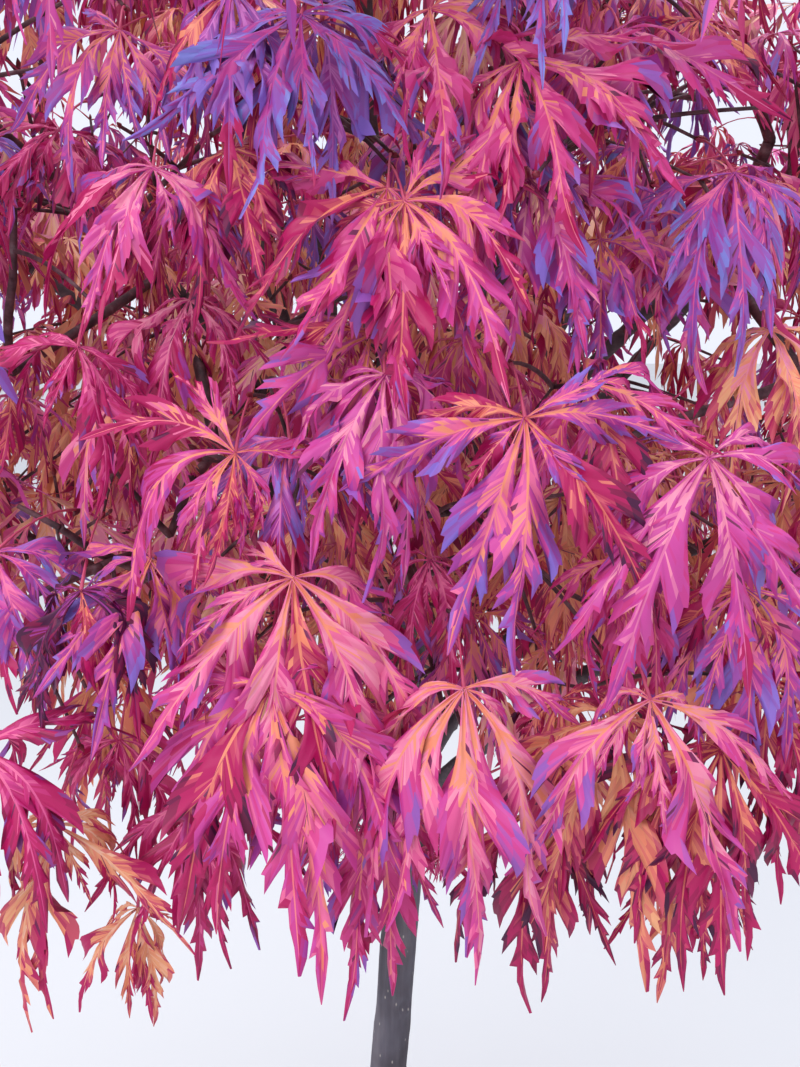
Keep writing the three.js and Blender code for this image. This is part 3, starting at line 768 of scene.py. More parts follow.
def make_leaf(root, hub, forward, normal, lobe, bend, spray, draw, blade=None):
    """All that says where one leaf is and how its lobes hang."""
    if blade is None:
        blade = NEAR_BLADE if in_view(hub, NEAR_VIEW) else FAR_BLADE
    side = unit(np.cross(normal, forward))
    wider, flatter = SHOWING_LOBE.values() if blade is SHOWING_BLADE else (1, 1)

    def chances():
        return np.array([draw() for _ in LOBE_TURNS])

    def varied(key):
        least, most = LOBE_PLAY[key]
        return least + (most - least) * chances()

    leaf = {"blade": blade, "root": root, "hub": hub, "forward": forward, "side": side}
    leaf["normal"] = unit(np.cross(forward, side))
    leaf["turns"] = LOBE_TURNS + varied("turns")
    leaf["lengths"] = lobe * LOBE_SHARES * varied("lengths")
    leaf["lengths"] *= np.where(chances() < STUNTED["share"], STUNTED["length"], 1)
    leaf["widths"] = wider * varied("widths") * np.where(chances() < 0.5, -1, 1)
    leaf["bends"] = np.minimum(bend * varied("bends"), MOST_BEND)
    for key in ("sways", "twists", "folds", "curls", "waves", "phases"):
        leaf[key] = varied(key)
    leaf["folds"] *= flatter
    leaf["spray"] = [BLENDS[pair] for pair in blend_steps(spray)]
    return leaf


def lobe_ways(leaf):
    """The way each lobe sets out from the hub."""
    cos, sin = np.cos(leaf["turns"])[:, None], np.sin(leaf["turns"])[:, None]
    return cos * leaf["forward"] + sin * leaf["side"]


def lobe_tips(leaf):
    hang = leaf["bends"][:, None] / 2
    ways = (1 - hang) * lobe_ways(leaf) + hang * DOWN
    ways /= np.linalg.norm(ways, axis=1)[:, None]
    return leaf["hub"] + leaf["lengths"][:, None] * ways


def outline(rows, hand, share):
    """How far along and out one column of a lobe's corners lies, for every row."""
    rib, along, out = (LEFT_EDGE if hand < 0 else RIGHT_EDGE)[rows].T
    if share == 0:
        return rib, hand * RIB["half"] * (1 - RIB["narrows"] * rib)
    return rib + share * (along - rib), hand * (RIB["half"] * RIB["edge"] + share * out)


def lying_on(along):
    """Shares of the midrib's steps that give a place at each distance along it."""
    shares = np.zeros((len(along), len(RIB_STEPS)))
    for row, distance in enumerate(along):
        after = min(max(int(np.searchsorted(RIB_STEPS, distance)), 1), len(RIB_STEPS) - 1)
        part = (distance - RIB_STEPS[after - 1]) / (RIB_STEPS[after] - RIB_STEPS[after - 1])
        shares[row, after - 1], shares[row, after] = 1 - part, part
    return shares


def tooth_of(rows):
    """The number of the tooth that each row belongs to."""
    return np.searchsorted(TOOTH_ROWS, rows, side="right")


def leaf_corners(leaves, blade):
    """Corner places of all leaves: leaf, lobe, row along the lobe, column across it."""

    def gather(key):
        return np.array([leaf[key] for leaf in leaves])

    start = np.array([lobe_ways(leaf) for leaf in leaves])
    normal = np.broadcast_to(gather("normal")[:, None, :], start.shape)
    across = np.cross(normal, start)
    sway = (gather("sways")[..., None] * RIB_STEPS ** LOBE_LINE["sway"])[..., None]
    start = np.cos(sway) * start[:, :, None, :] + np.sin(sway) * across[:, :, None, :]
    hang = np.sin(np.minimum(LOBE_LINE["hang"] * RIB_STEPS, 1) * math.pi / 2)
    lean = (gather("bends")[..., None] * hang)[..., None]
    ways = (1 - lean) * start + lean * DOWN
    ways /= np.linalg.norm(ways, axis=-1, keepdims=True)
    steps = np.diff(RIB_STEPS, prepend=0)
    lengths = gather("lengths")[:, :, None, None]
    ribs = np.cumsum(ways * steps[:, None], axis=2) * lengths + gather("hub")[:, None, None, :]
    level = across[:, :, None, :] - (across[:, :, None, :] * ways).sum(-1, keepdims=True) * ways
    level /= np.linalg.norm(level, axis=-1, keepdims=True)
    over = np.cross(ways, level)
    twist = gather("twists")[..., None] * RIB_STEPS ** LOBE_LINE["twist"]
    cos, sin = np.cos(twist)[..., None], np.sin(twist)[..., None]
    level, over = cos * level + sin * over, cos * over - sin * level
    widths, folds, waves, phases, curls = (
        gather(key)[:, :, None, None] for key in ("widths", "folds", "waves", "phases", "curls")
    )
    chance = np.random.default_rng(LOBE_LINE["seed"])
    tooth_counts = (2, len(leaves), len(LOBE_TURNS), len(TOOTH_ROWS) + 1)
    tooth_folds = chance.normal(0, LOBE_LINE["tooth_fold"], tooth_counts)
    teeth = tooth_of(np.array(blade["rows"]))
    crinkle = CRINKLE["height"] if blade["ribbed"] else 0
    places = []
    for hand, share in blade["columns"]:
        along, out = outline(blade["rows"], hand, share)
        lie = lying_on(along)
        along, reach = along[:, None], widths * out[:, None]
        fold = folds + tooth_folds[(hand + 1) // 2][:, :, teeth, None]
        ripple = waves * np.abs(reach) * np.sin(LOBE_LINE["ripples"] * along + phases)
        pucker = np.sin(CRINKLE["along"] * along - CRINKLE["out"] * abs(out[:, None]) + phases)
        veins = crinkle * (0 < share < 1) * (CRINKLE["mean"] + pucker)
        curl = curls * np.maximum(along - LOBE_LINE["curl_from"], 0) ** 2
        lift = fold * np.abs(reach) + ripple + veins + curl
        ribs_here, level_here, over_here = (np.einsum("kr,nlrc->nlkc", lie, v) for v in (ribs, level, over))
        places.append(ribs_here + lengths * (reach * level_here + lift * over_here))
    return np.stack(places, axis=3)


def leaf_faces(leaves, blade):
    """Four-sided faces of all leaves and the tint number of each."""
    lobes, rows, columns = len(LOBE_TURNS), len(blade["rows"]), len(blade["columns"])
    corner = np.arange(rows - 1)[:, None] * columns + np.arange(columns - 1)[None, :]
    lobe_faces = np.stack([corner, corner + 1, corner + columns + 1, corner + columns], axis=-1)
    starts = np.arange(len(leaves) * lobes) * rows * columns
    faces = lobe_faces.reshape(1, -1, 4) + starts[:, None, None]
    sides = [outline(blade["rows"], hand, share) for hand, share in blade["columns"]]
    along, out = (np.stack([side[k] for side in sides], axis=1) for k in (0, 1))
    along, out = ((v[1:, 1:] + v[:-1, 1:] + v[1:, :-1] + v[:-1, :-1]) / 4 for v in (along, out))
    shares = np.array([share for _, share in blade["columns"]])
    edge = ((shares[1:] + shares[:-1]) / 2) ** 3 * blade["ribbed"]
    outward = TONE["out"] * np.clip(np.abs(out) / TONE["full_out"], 0, 1)
    onward = TONE["along"] * np.clip(along - TONE["from"], 0, TONE["span"]) / TONE["span"]
    tone = TONE["foot"] + outward + onward + TONE["edge"] * edge
    chance = np.random.default_rng(TONE_PLAY["seed"])
    each = (len(leaves), lobes, 1, 1)
    phases = chance.uniform(0, math.tau, (2 * len(BLOTCHES), *each))
    mottle = 0
    for k, (strength, *waves) in enumerate(BLOTCHES):
        pair = zip(waves, phases[2 * k : 2 * k + 2])
        first, second = (np.sin(onto * along + aside * out + phase) for (onto, aside), phase in pair)
        mottle = mottle + strength * (first * second)
    mottle = mottle + chance.normal(0, TONE_PLAY["face"], (*each[:2], *along.shape))
    pale = (chance.uniform(0, 1, mottle.shape) < PALE_FACES["share"]) & (np.abs(out) < PALE_FACES["within"])
    mottle -= PALE_FACES["gain"] * pale
    tooth_tones = chance.normal(0, TONE_PLAY["tooth"], (2, *each[:2], len(TOOTH_ROWS) + 1))
    teeth = tooth_of(np.array(blade["rows"])[:-1])
    shift = np.where(out < 0, tooth_tones[0][:, :, teeth, None], tooth_tones[1][:, :, teeth, None])
    shift = shift * np.clip(np.abs(out) / TONE_PLAY["tooth_from"], 0, 1)
    tones = tone + mottle + shift + chance.normal(0, TONE_PLAY["lobe"], each)
    if blade["ribbed"]:
        rib = columns // 2 - 1
        tones[..., rib] = TONE["rib"] * along[:, rib]
    zones = np.clip(np.rint(2 * tones), 0, ZONES - 1).astype(int)
    underside = np.array([BLENDS[pair] for pair in blend_steps(UNDERSIDE)])
    turned_over = chance.uniform(0, 1, each[:2])[..., None] < TURNED_LOBES
    sprays = np.where(turned_over, underside, np.array([leaf["spray"] for leaf in leaves])[:, None, :])
    tints = np.take_along_axis(sprays, zones.reshape(*each[:2], -1), axis=2).reshape(zones.shape)
    curl_from = CURLED_TIPS["from"] + chance.normal(0, CURLED_TIPS["play"], each)
    curled = (chance.uniform(0, 1, each) < CURLED_TIPS["share"]) & (along > curl_from)
    tints = np.where(curled & (zones > CURLED_TIPS["past_zone"]), BLENDS[("crimson", "crimson")], tints)
    spots = chance.uniform(0, 1, tints.shape) < SPOT_SHARE * blade["ribbed"]
    return faces.reshape(-1, 4), np.where(spots, BLENDS[("spot", "spot")], tints).ravel()


def leaf_piece(name, leaves, blade, materials):
    corners = leaf_corners(leaves, blade)
    faces, tints = leaf_faces(leaves, blade)
    return mesh_piece(name, corners.reshape(-1, 3), faces, materials, tints)


def stalk_path(leaf):
    """A leaf's stalk: out from its twig and over to the hub."""
    root, hub = leaf["root"], leaf["hub"]
    bend = (root + hub) / 2 + STALK["arch"] * np.linalg.norm(hub - root) * UP
    return [bezier((root, bend, hub), t) for t in STALK["steps"]]


# Growth of twigs and leaves
def twig(start, way, length, lift, size):
    end = start + length * way + lift * UP
    return {"curve": (start, start + length / 2 * way, end), "size": size}


def side_pairs(parent, size, roll, draw):
    """Where twigs leave a parent in opposite pairs: share along it, its way, and the way aside."""
    for pair, fork in enumerate(size["forks"]):
        way = bezier_way(parent["curve"], fork)
        level = unit(np.cross(UP, way))
        upright = np.cross(way, level)
        turn = math.radians(90 * pair + play(draw, roll))
        aside = math.cos(turn) * level + math.sin(turn) * upright
        for hand in (-1, 1):
            yield fork, way, hand * aside


def splayed(way, aside, angle, rise=0):
    """A way that leaves another at an angle in degrees, and rises a little."""
    return unit(math.cos(math.radians(angle)) * way + math.sin(math.radians(angle)) * aside + rise * UP)


def grow_stem(bough, fits):
    way = bezier_way(bough["curve"], 1)
    length = STEM["length"]
    while not fits(bezier(bough["curve"], 1) + length * way):
        length *= STEM["trim"]
    return twig(bezier(bough["curve"], 1), way, length, STEM["lift"], STEM)


def grow_side_twigs(bough, stem, fits):
    draw = seeded(TWIG["seed"] * (bough["number"] + 1))
    twigs = []
    for fork, way, aside in side_pairs(stem, TWIG, TWIG["roll_play"], draw):
        heading = splayed(way, aside, TWIG["splay"] + play(draw, TWIG["splay_play"]))
        length = TWIG["length"] * (1 - TWIG["shorten"] * fork) * (1 + play(draw, TWIG["play"]))
        start = bezier(stem["curve"], fork)
        while length > TWIG["least"] * TWIG["length"] and not fits(start + length * heading):
            length *= STEM["trim"]
        twigs.append(twig(start, heading, length, 0, TWIG))
    return twigs


def grow_fine_twigs(parent, size, draw):
    """Short twigs in opposite pairs along a parent twig or bough."""
    twigs = []
    for fork, way, aside in side_pairs(parent, size, FINE_PLAY["roll"], draw):
        heading = splayed(way, aside, size["splay"] + play(draw, FINE_PLAY["splay"]), FINE_PLAY["rise"])
        length = size["length"] * drawn(draw, *FINE_PLAY["length"])
        twigs.append(twig(bezier(parent["curve"], fork), heading, length, FINE_PLAY["lift"] * length, size))
    return twigs


class LeafGrowth:
    """The leaves grown so far, kept apart from each other and inside the crown's outline."""

    def __init__(self, masses):
        self.centres = np.array([mass["centre"] for mass in masses])
        self.hubs = np.empty((0, 3))
        self.leaves = []

    def has_room(self, leaf):
        if len(self.hubs) and np.min(((self.hubs - leaf["hub"]) ** 2).sum(axis=1)) < LEAF["apart"] ** 2:
            return False
        return bool(inside_crown(lobe_tips(leaf)).all())

    def add(self, leaf):
        leaf["mass"] = nearest_mass(leaf["hub"], self.centres)
        self.hubs = np.vstack([self.hubs, leaf["hub"]])
        self.leaves.append(leaf)

    def grow_leaf(self, parent, along, hand, draw):
        """A leaf at a twig: its stalk heads out, and its blade hangs from the end of it."""
        root = bezier(parent["curve"], along)
        outward = unit(np.array([root[0], root[1], 0]))
        flat = bezier_way(parent["curve"], along) * LEAF["along_twig"] + outward * LEAF["outward"]
        flat[2] = 0
        for attempt in range(LEAF["tries"]):
            heading = turned(unit(flat), hand * math.radians(drawn(draw, *LEAF["turn"])))
            dip = math.radians(drawn(draw, *LEAF["dip"]))
            heading = math.cos(dip) * heading - math.sin(dip) * UP
            lie = unit(UP - heading[2] * heading)
            hang = math.radians(drawn(draw, *LEAF["hang"]))
            forward = math.cos(hang) * heading - math.sin(hang) * lie
            normal = math.cos(hang) * lie + math.sin(hang) * heading
            stalk = LEAF["stalk"] + play(draw, LEAF["stalk_play"])
            lobe = (LEAF["lobe"] + play(draw, LEAF["lobe_play"])) * LEAF["shrink"] ** attempt
            hub = root + stalk * heading
            bend = drawn(draw, *LEAF["bend"])
            leaf = make_leaf(root, hub, forward, normal, lobe, bend, spray_for(hub, draw), draw)
            if in_view(hub, FRONT_VIEW) or (in_open_place(hub) and draw() < OPEN_SHARE):
                return
            if self.has_room(leaf):
                self.add(leaf)
                return


# The camera's own directions
TILT = math.radians(CAMERA["tilt"])
AHEAD = np.array([0.0, math.cos(TILT), math.sin(TILT)])
RIGHT = np.array([1.0, 0.0, 0.0])
ABOVE = np.cross(RIGHT, AHEAD)
EYE = np.array(CAMERA["place"])
FOCAL = PHOTO["height"] / 2 / math.tan(math.radians(CAMERA["upright_view"] / 2))

# Leaves that show in front: hub in photograph pixels, distance ahead of the camera, lean of the middle lobe
# from straight down and tip towards the camera in degrees, lobe length, bend, and kind of spray
# The violet kind paints a sky reflection into the colour of the upper front leaves: painted reflection
SHOWING_LEAVES = [
    (232, -8, 0.52, 3, 35, 0.092, 0.7, "violet"),
    (301, 15, 0.51, 8, 30, 0.100, 0.5, "violet"),
    (120, 30, 0.54, -25, 50, 0.085, 0.6, "pink"),
    (430, 10, 0.52, 25, 45, 0.096, 0.6, "pink"),
    (522, 61, 0.50, 32, 40, 0.106, 0.6, "pink"),
    (506, 98, 0.52, 8, 60, 0.092, 0.9, "violet"),
    (620, 30, 0.52, 15, 50, 0.090, 0.6, "pink"),
    (700, 20, 0.54, -5, 50, 0.085, 0.6, "red"),
    (153, 168, 0.52, -15, 50, 0.096, 0.6, "pink"),
    (60, 130, 0.55, -20, 50, 0.082, 0.6, "red"),
    (230, 150, 0.53, 10, 55, 0.086, 0.8, "red"),
    (388, 189, 0.51, -14, 40, 0.104, 0.6, "pink"),
    (405, 201, 0.50, 38, 32, 0.108, 0.5, "salmon"),
    (530, 180, 0.52, 20, 45, 0.096, 0.6, "pink"),
    (600, 240, 0.54, 10, 50, 0.086, 0.6, "pink"),
    (734, 173, 0.52, 0, 40, 0.092, 0.7, "violet"),
    (690, 220, 0.55, -15, 50, 0.086, 0.7, "salmon"),
    (78, 347, 0.52, -25, 50, 0.084, 0.6, "red"),
    (190, 300, 0.55, -10, 55, 0.086, 0.7, "red"),
    (372, 335, 0.52, -40, 45, 0.100, 0.6, "salmon"),
    (385, 375, 0.50, -5, 45, 0.096, 0.8, "pink"),
    (525, 418, 0.483, 2, 15, 0.114, 0.3, "pink"),
    (586, 383, 0.51, 40, 40, 0.084, 0.6, "salmon"),
    (709, 458, 0.488, 5, 25, 0.112, 0.5, "pink"),
    (770, 330, 0.55, 0, 50, 0.090, 0.8, "amber"),
    (235, 453, 0.495, -30, 24, 0.120, 0.65, "salmon"),
    (290, 440, 0.51, -10, 45, 0.094, 0.85, "violet"),
    (293, 578, 0.495, -20, 22, 0.132, 0.6, "salmon"),
    (150, 560, 0.53, -30, 50, 0.092, 0.7, "pink"),
    (81, 591, 0.51, 0, 35, 0.082, 0.9, "maroon"),
    (-6, 553, 0.53, 6, 35, 0.080, 0.9, "violet"),
    (430, 560, 0.55, 0, 50, 0.086, 0.8, "red"),
    (620, 560, 0.53, 5, 45, 0.092, 0.8, "pink"),
    (745, 590, 0.53, 0, 45, 0.096, 0.8, "pink"),
    (269, 688, 0.490, 4, 22, 0.136, 0.65, "salmon"),
    (464, 689, 0.495, -2, 24, 0.128, 0.75, "salmon"),
    (345, 700, 0.54, -15, 40, 0.086, 0.8, "red"),
    (560, 700, 0.54, 0, 50, 0.090, 0.8, "red"),
    (650, 700, 0.50, -22, 26, 0.124, 0.6, "salmon"),
    (612, 718, 0.53, 0, 26, 0.126, 0.85, "amber"),
    (721, 750, 0.52, 0, 30, 0.108, 0.8, "red"),
    (770, 690, 0.55, 5, 50, 0.090, 0.8, "red"),
    (-25, 750, 0.51, 25, 40, 0.100, 0.7, "red"),
    (55, 825, 0.53, -3, 25, 0.098, 0.8, "amber"),
    (138, 908, 0.61, 0, 50, 0.070, 0.8, "amber"),
    (200, 800, 0.56, -5, 50, 0.086, 0.9, "red"),
    (120, 740, 0.58, -10, 50, 0.078, 0.8, "red"),
    (372, 800, 0.56, -4, 26, 0.100, 0.9, "pink"),
    (540, 805, 0.56, 0, 26, 0.100, 0.9, "red"),
    (690, 850, 0.59, 0, 50, 0.078, 0.8, "amber"),
    (322, 22, 0.53, 2, 40, 0.098, 0.7, "violet"),
]
# Where the stalks of two of them come from, by the pixel across of the hub
SHOWING_STALKS = {81: (103, 513, 0.60), -6: (78, 509, 0.60)}
# Boxes of pixels that leaves mostly leave clear for light and branches: left, top, right, bottom, and how far
# from the camera the box ends
OPEN_PLACES = [
    (590, 255, 800, 400, 9), (385, 600, 450, 980, 9), (235, 740, 370, 900, 9), (660, 680, 800, 830, 9),
    (0, 640, 60, 720, 9), (0, 0, 120, 90, 9), (640, 20, 800, 140, 9), (0, 400, 170, 600, 0.66),
    (560, 280, 800, 430, 0.76), (150, 420, 240, 520, 0.7),
]
OPEN_SHARE = 0.85
# Boxes of a distance ahead and of pixels from the photograph's middle: where leaves are near enough to show
# their ribs, and where they would hide the front leaves
NEAR_VIEW = {"ahead": 0.70, "beside": 470, "above": 620}
FRONT_VIEW = {"ahead": 0.57, "beside": 460, "above": 593.5}
NEAREST = 0.01

# How the front leaves hang from their own twigs: the stalk's root behind and above the hub with its play, how
# far behind and below that root the twig comes from, and its arch
SHOWING_TWIG = {"back": 0.045, "up": 0.022, "play": 0.01, "behind": 0.01, "below": 0.02, "arch": 0.1}
# How evenly the branches that show curve from stop to stop, and how they taper
SHOWING_BRANCH = {"ease": 0.05, "taper": 0.16}

# Branches that show between the leaves: thickness at the root, then pixels across and down with the distance
SHOWING_BRANCHES = [
    (0.0050, [(800, 372, 0.74), (745, 398, 0.70), (650, 428, 0.66), (580, 462, 0.64)]),
    (0.0044, [(215, 445, 0.72), (190, 480, 0.68), (170, 535, 0.66), (140, 500, 0.64), (104, 458, 0.62)]),
    (0.0040, [(134, 556, 0.66), (100, 567, 0.62), (60, 584, 0.60), (10, 606, 0.59)]),
    (0.0036, [(150, 575, 0.68), (96, 552, 0.62), (60, 528, 0.60), (18, 506, 0.60)]),
    (0.0034, [(12, 372, 0.66), (13, 280, 0.62), (14, 200, 0.60)]),
    (0.0046, [(770, 140, 0.74), (735, 70, 0.70), (700, 98, 0.68), (664, 92, 0.66)]),
    (0.0034, [(420, 262, 0.70), (350, 292, 0.64), (288, 325, 0.60)]),
]


def seen_point(across, down, ahead):
    """The place that shows at a pixel of the photograph, at a distance ahead of the camera."""
    beside = RIGHT * (across - PHOTO["width"] / 2) / FOCAL
    above = ABOVE * (PHOTO["height"] / 2 - down) / FOCAL
    return EYE + ahead * (AHEAD + beside + above)


def seen_at(point):
    """Pixels right of and above the photograph's middle where a place shows, and how far ahead it lies."""
    away = point - EYE
    ahead = max(away @ AHEAD, NEAREST)
    return away @ RIGHT * FOCAL / ahead, away @ ABOVE * FOCAL / ahead, ahead


def in_view(point, view):
    beside, above, ahead = seen_at(point)
    return ahead <= view["ahead"] and abs(beside) < view["beside"] and abs(above) < view["above"]


def in_open_place(point):
    """True for a place that shows where the photograph lets light through."""
    beside, above, ahead = seen_at(point)
    across = PHOTO["width"] / 2 + beside
    down = PHOTO["height"] / 2 - above
    return any(
        left < across < right and top < down < bottom and ahead < far
        for left, top, right, bottom, far in OPEN_PLACES
    )


def nearest(points, wanted):
    return points[np.argmin(((points - wanted) ** 2).sum(axis=1))]


def showing_branches(limb_points):
    """Branches seen between the leaves, each from the nearest point of a bough."""
    limbs = []
    for thickness, route in SHOWING_BRANCHES:
        points = [seen_point(*stop) for stop in route]
        points = [nearest(limb_points, points[0]), *points]
        for k in range(len(points) - 1):
            before = points[max(k - 1, 0)]
            after = points[min(k + 2, len(points) - 1)]
            middle = (points[k] + points[k + 1]) / 2
            bend = middle + SHOWING_BRANCH["ease"] * ((points[k] - before) + (points[k + 1] - after))
            taper = 1 - SHOWING_BRANCH["taper"] * k
            size = {"root": thickness * taper, "tip": thickness * (taper - SHOWING_BRANCH["taper"])}
            limbs.append({"curve": (points[k], bend, points[k + 1]), "size": size})
    return limbs


def showing_leaves(draw, twig_points):
    """The front leaves, each on a twig of its own from the nearest grown twig."""
    leaves, twigs = [], []
    for across, down, ahead, lean, tip, lobe, hang, kind in SHOWING_LEAVES:
        hub = seen_point(across, down, ahead)
        lean, tip = math.radians(lean), math.radians(tip)
        hanging = math.cos(lean) * DOWN + math.sin(lean) * RIGHT
        level_ahead = np.array([0.0, 1.0, 0.0])
        forward = unit(math.cos(tip) * hanging - math.sin(tip) * level_ahead)
        normal = unit(-math.cos(tip) * level_ahead - math.sin(tip) * hanging)
        root = hub + SHOWING_TWIG["back"] * level_ahead + SHOWING_TWIG["up"] * UP
        root = root + play(draw, SHOWING_TWIG["play"]) * RIGHT
        if across in SHOWING_STALKS:
            root = seen_point(*SHOWING_STALKS[across])
        spray = pick(draw, SPRAYS[kind])
        leaves.append(make_leaf(root, hub, forward, normal, lobe, hang, spray, draw, SHOWING_BLADE))
        behind = twig_points[:, 1] > root[1] + SHOWING_TWIG["behind"]
        above = twig_points[:, 2] > root[2] - SHOWING_TWIG["below"]
        start = nearest(twig_points[behind & above], root)
        bend = (start + root) / 2 + SHOWING_TWIG["arch"] * np.linalg.norm(root - start) * UP
        twigs.append({"curve": (start, bend, root), "size": FINE_TWIG})
    return leaves, twigs


masses = mass_centres()
boughs = make_boughs(masses)
growth = LeafGrowth(masses)
draw_growth = seeded(SEEDS["growth"])
twigs = []
for bough in boughs:
    centres = growth.centres
    own = masses.index(bough["mass"])

    def fits(point):
        return bool(inside_crown(point)) and nearest_mass(point, centres) == own

    stem = grow_stem(bough, fits)
    carriers = [stem, *grow_side_twigs(bough, stem, fits)]
    fine = [small for carrier in carriers for small in grow_fine_twigs(carrier, FINE_TWIG, draw_growth)]
    bough["tips"] = carriers + fine + grow_fine_twigs(bough, SPUR, draw_growth)
    twigs += bough["tips"]

bough_points = [bezier(bough["curve"], along) for bough in boughs for along in BOUGH_SAMPLES]
branches = showing_branches(np.array(bough_points))
twig_points = [bezier(limb["curve"], along) for limb in twigs + branches for along in TWIG_SAMPLES]
front_leaves, front_twigs = showing_leaves(seeded(SEEDS["front"]), np.array(twig_points))
for leaf in front_leaves:
    growth.add(leaf)
twigs += front_twigs
for place in LEAF["places"]:
    for bough in boughs:
        for small in bough["tips"]:
            for hand in (-1, 1):
                growth.grow_leaf(small, place, hand, draw_growth)


# Small dark leaves on short shoots at the graft
def graft_shoots(draw):
    shoots, leaves = [], []
    for _ in range(GRAFT_SHOOTS["count"]):
        height = GRAFT["height"] + play(draw, GRAFT_SHOOTS["play"])
        turn = math.radians(GRAFT_SHOOTS["facing"] + play(draw, GRAFT_SHOOTS["spread"]))
        start = trunk_point(height) + polar(GRAFT_SHOOTS["sunk"] * trunk_radius(height), turn, 0)
        way = unit(polar(1, turn, drawn(draw, *SHOOT["rise"])))
        shoots.append(twig(start, way, drawn(draw, *SHOOT["length"]), 0, SHOOT))
        for along in GRAFT_SHOOTS["leaves_at"]:
            root = bezier(shoots[-1]["curve"], along)
            heading = unit(turned(np.array([way[0], way[1], 0]), play(draw, GRAFT_LEAF["fan"])))
            hub = root + GRAFT_LEAF["stalk"] * unit(heading + GRAFT_LEAF["lift"] * UP)
            forward = unit(heading - drawn(draw, *GRAFT_LEAF["dip"]) * UP)
            normal = unit(UP + GRAFT_LEAF["lie"] * heading)
            lobe = GRAFT_LEAF["lobe"] * drawn(draw, *GRAFT_LEAF["size"])
            spray = pick(draw, SPRAYS["red"])
            leaf = make_leaf(root, hub, forward, normal, lobe, GRAFT_LEAF["bend"], spray, draw, FAR_BLADE)
            leaves.append(leaf)
    return shoots, leaves


def leaves_of(blade, held):
    """The leaves of one fineness that hang in some of the masses."""
    return [leaf for leaf in growth.leaves if leaf["blade"] is blade and leaf["mass"] in held]


shoots, shoot_leaves = graft_shoots(seeded(SEEDS["graft"]))
leaf_tints = leaf_materials()
for blade, label in ((SHOWING_BLADE, "showing"), (NEAR_BLADE, "near")):
    for slot, tiers in (("low", ["low"]), ("middle", ["middle", "high", "top"])):
        held = [i for i, mass in enumerate(masses) if mass["tier"] in tiers]
        piece = leaf_piece(f"{label}_leaves_{slot}", leaves_of(blade, held), blade, leaf_tints)
        dress(piece, f"leaf_{slot}")
GROUPS = [("low", 0, 4), ("low", 4, 8), ("middle", 0, 4), ("middle", 4, 8), ("high", 0, 4), ("top", 0, 1)]
for tier, first, last in GROUPS:
    held = [i for i, mass in enumerate(masses) if mass["tier"] == tier and first <= mass["k"] < last]
    name = f"leaves_{tier}_{first + 1}_{last}" if tier != "top" else "leaves_top"
    piece = leaf_piece(name, leaves_of(FAR_BLADE, held), FAR_BLADE, leaf_tints)
    dress(piece, f"leaf_{tier}", *[f"foliage_{masses[i]['label']}" for i in held])
dress(leaf_piece("graft_leaves", shoot_leaves, FAR_BLADE, leaf_tints), "leaf_low")


# Twigs, stalks and buds
def limb_parts(limbs, sides, steps):
    shares = np.linspace(0, 1, steps + 1)
    parts = []
    for limb in limbs:
        size = limb["size"]
        radii = size["root"] + (size["tip"] - size["root"]) * shares
        parts.append(tube([bezier(limb["curve"], t) for t in shares], radii, sides))
    return parts


def bud(place, way, length):
    """A pointed bud on a twig."""
    points = [place + share * length * way for share in BUD["places"]]
    return tube(points, [share * length for share in BUD["radii"]], BUD["sides"])


def round_piece(name, parts, material, slot):
    """One piece of many tubes."""
    dress(mesh_piece(name, *joined(parts), [material]), slot)


limbs = limb_parts(twigs + shoots, **TWIG_MESH) + limb_parts(branches, **BRANCH_MESH)
round_piece("twigs", limbs, twig_bark(), "bough_bark")

stalk_skin = plain_material("leaf_stalk", linear(206, 76, 112), 0.4, 0.45)
stalks = [tube(stalk_path(leaf), STALK["radii"], STALK["sides"]) for leaf in growth.leaves + shoot_leaves]
round_piece("leaf_stalks", stalks, stalk_skin, "leaf_middle")

draw_buds = seeded(SEEDS["buds"])
buds = []
for small in twigs:
    way = bezier_way(small["curve"], 1)
    place = bezier(small["curve"], 1) - BUD["sunk"] * way
    buds.append(bud(place, unit(way + BUD["rise"] * UP), drawn(draw_buds, *BUD["end_length"])))
for leaf in growth.leaves:
    if leaf["blade"] is not FAR_BLADE:
        way = unit(leaf["hub"] - leaf["root"] + BUD["side_rise"] * UP)
        buds.append(bud(leaf["root"], way, drawn(draw_buds, *BUD["side_length"])))
round_piece("buds", buds, bud_skin(), "bough_bark")


# Boughs: one curve with a spline for each, thicker at the nodes and where it leaves its parent
def bough_thickness(bough, along):
    root, tip = bough["size"]["root"], bough["size"]["tip"]
    start, _, end = bough["curve"]
    run = np.linalg.norm(end - start) * along
    nodes = (run / NODE["apart"] + NODE["shift"] * bough["number"]) % 1.0 - 0.5
    node = NODE["swell"] * hump(nodes * NODE["apart"], NODE["span"])
    collar = COLLAR["swell"] * hump(run, COLLAR["span"])
    return (root + (tip - root) * along) * (1 + node + collar)


def make_boughs_piece():
    line = bpy.data.curves.new("boughs", "CURVE")
    line.dimensions = "3D"
    line.bevel_depth = 1.0
    line.bevel_resolution = BOUGH_MESH["roundness"]
    line.use_fill_caps = True
    for bough in boughs:
        spline = line.splines.new("POLY")
        shares = np.linspace(0, 1, BOUGH_MESH["rings"])
        spline.points.add(len(shares) - 1)
        for point, along in zip(spline.points, shares):
            point.co = (*bezier(bough["curve"], along), 1)
            point.radius = bough_thickness(bough, along)
    only(add_object("boughs", line))
    bpy.ops.object.convert(target="MESH")
    piece = bpy.context.object
    roughen(piece)
    bpy.ops.object.shade_smooth()
    return piece


def roughen(piece):
    """Raise and lower a piece's surface along its normals by seeded noise."""
    moves = [relief("bough", corner.co, BOUGH_RELIEF_SUNK) * corner.normal for corner in piece.data.vertices]
    for corner, move in zip(piece.data.vertices, moves):
        corner.co += move


def finish_piece(piece, name, material):
    piece.name = name
    piece.data.materials.append(material)


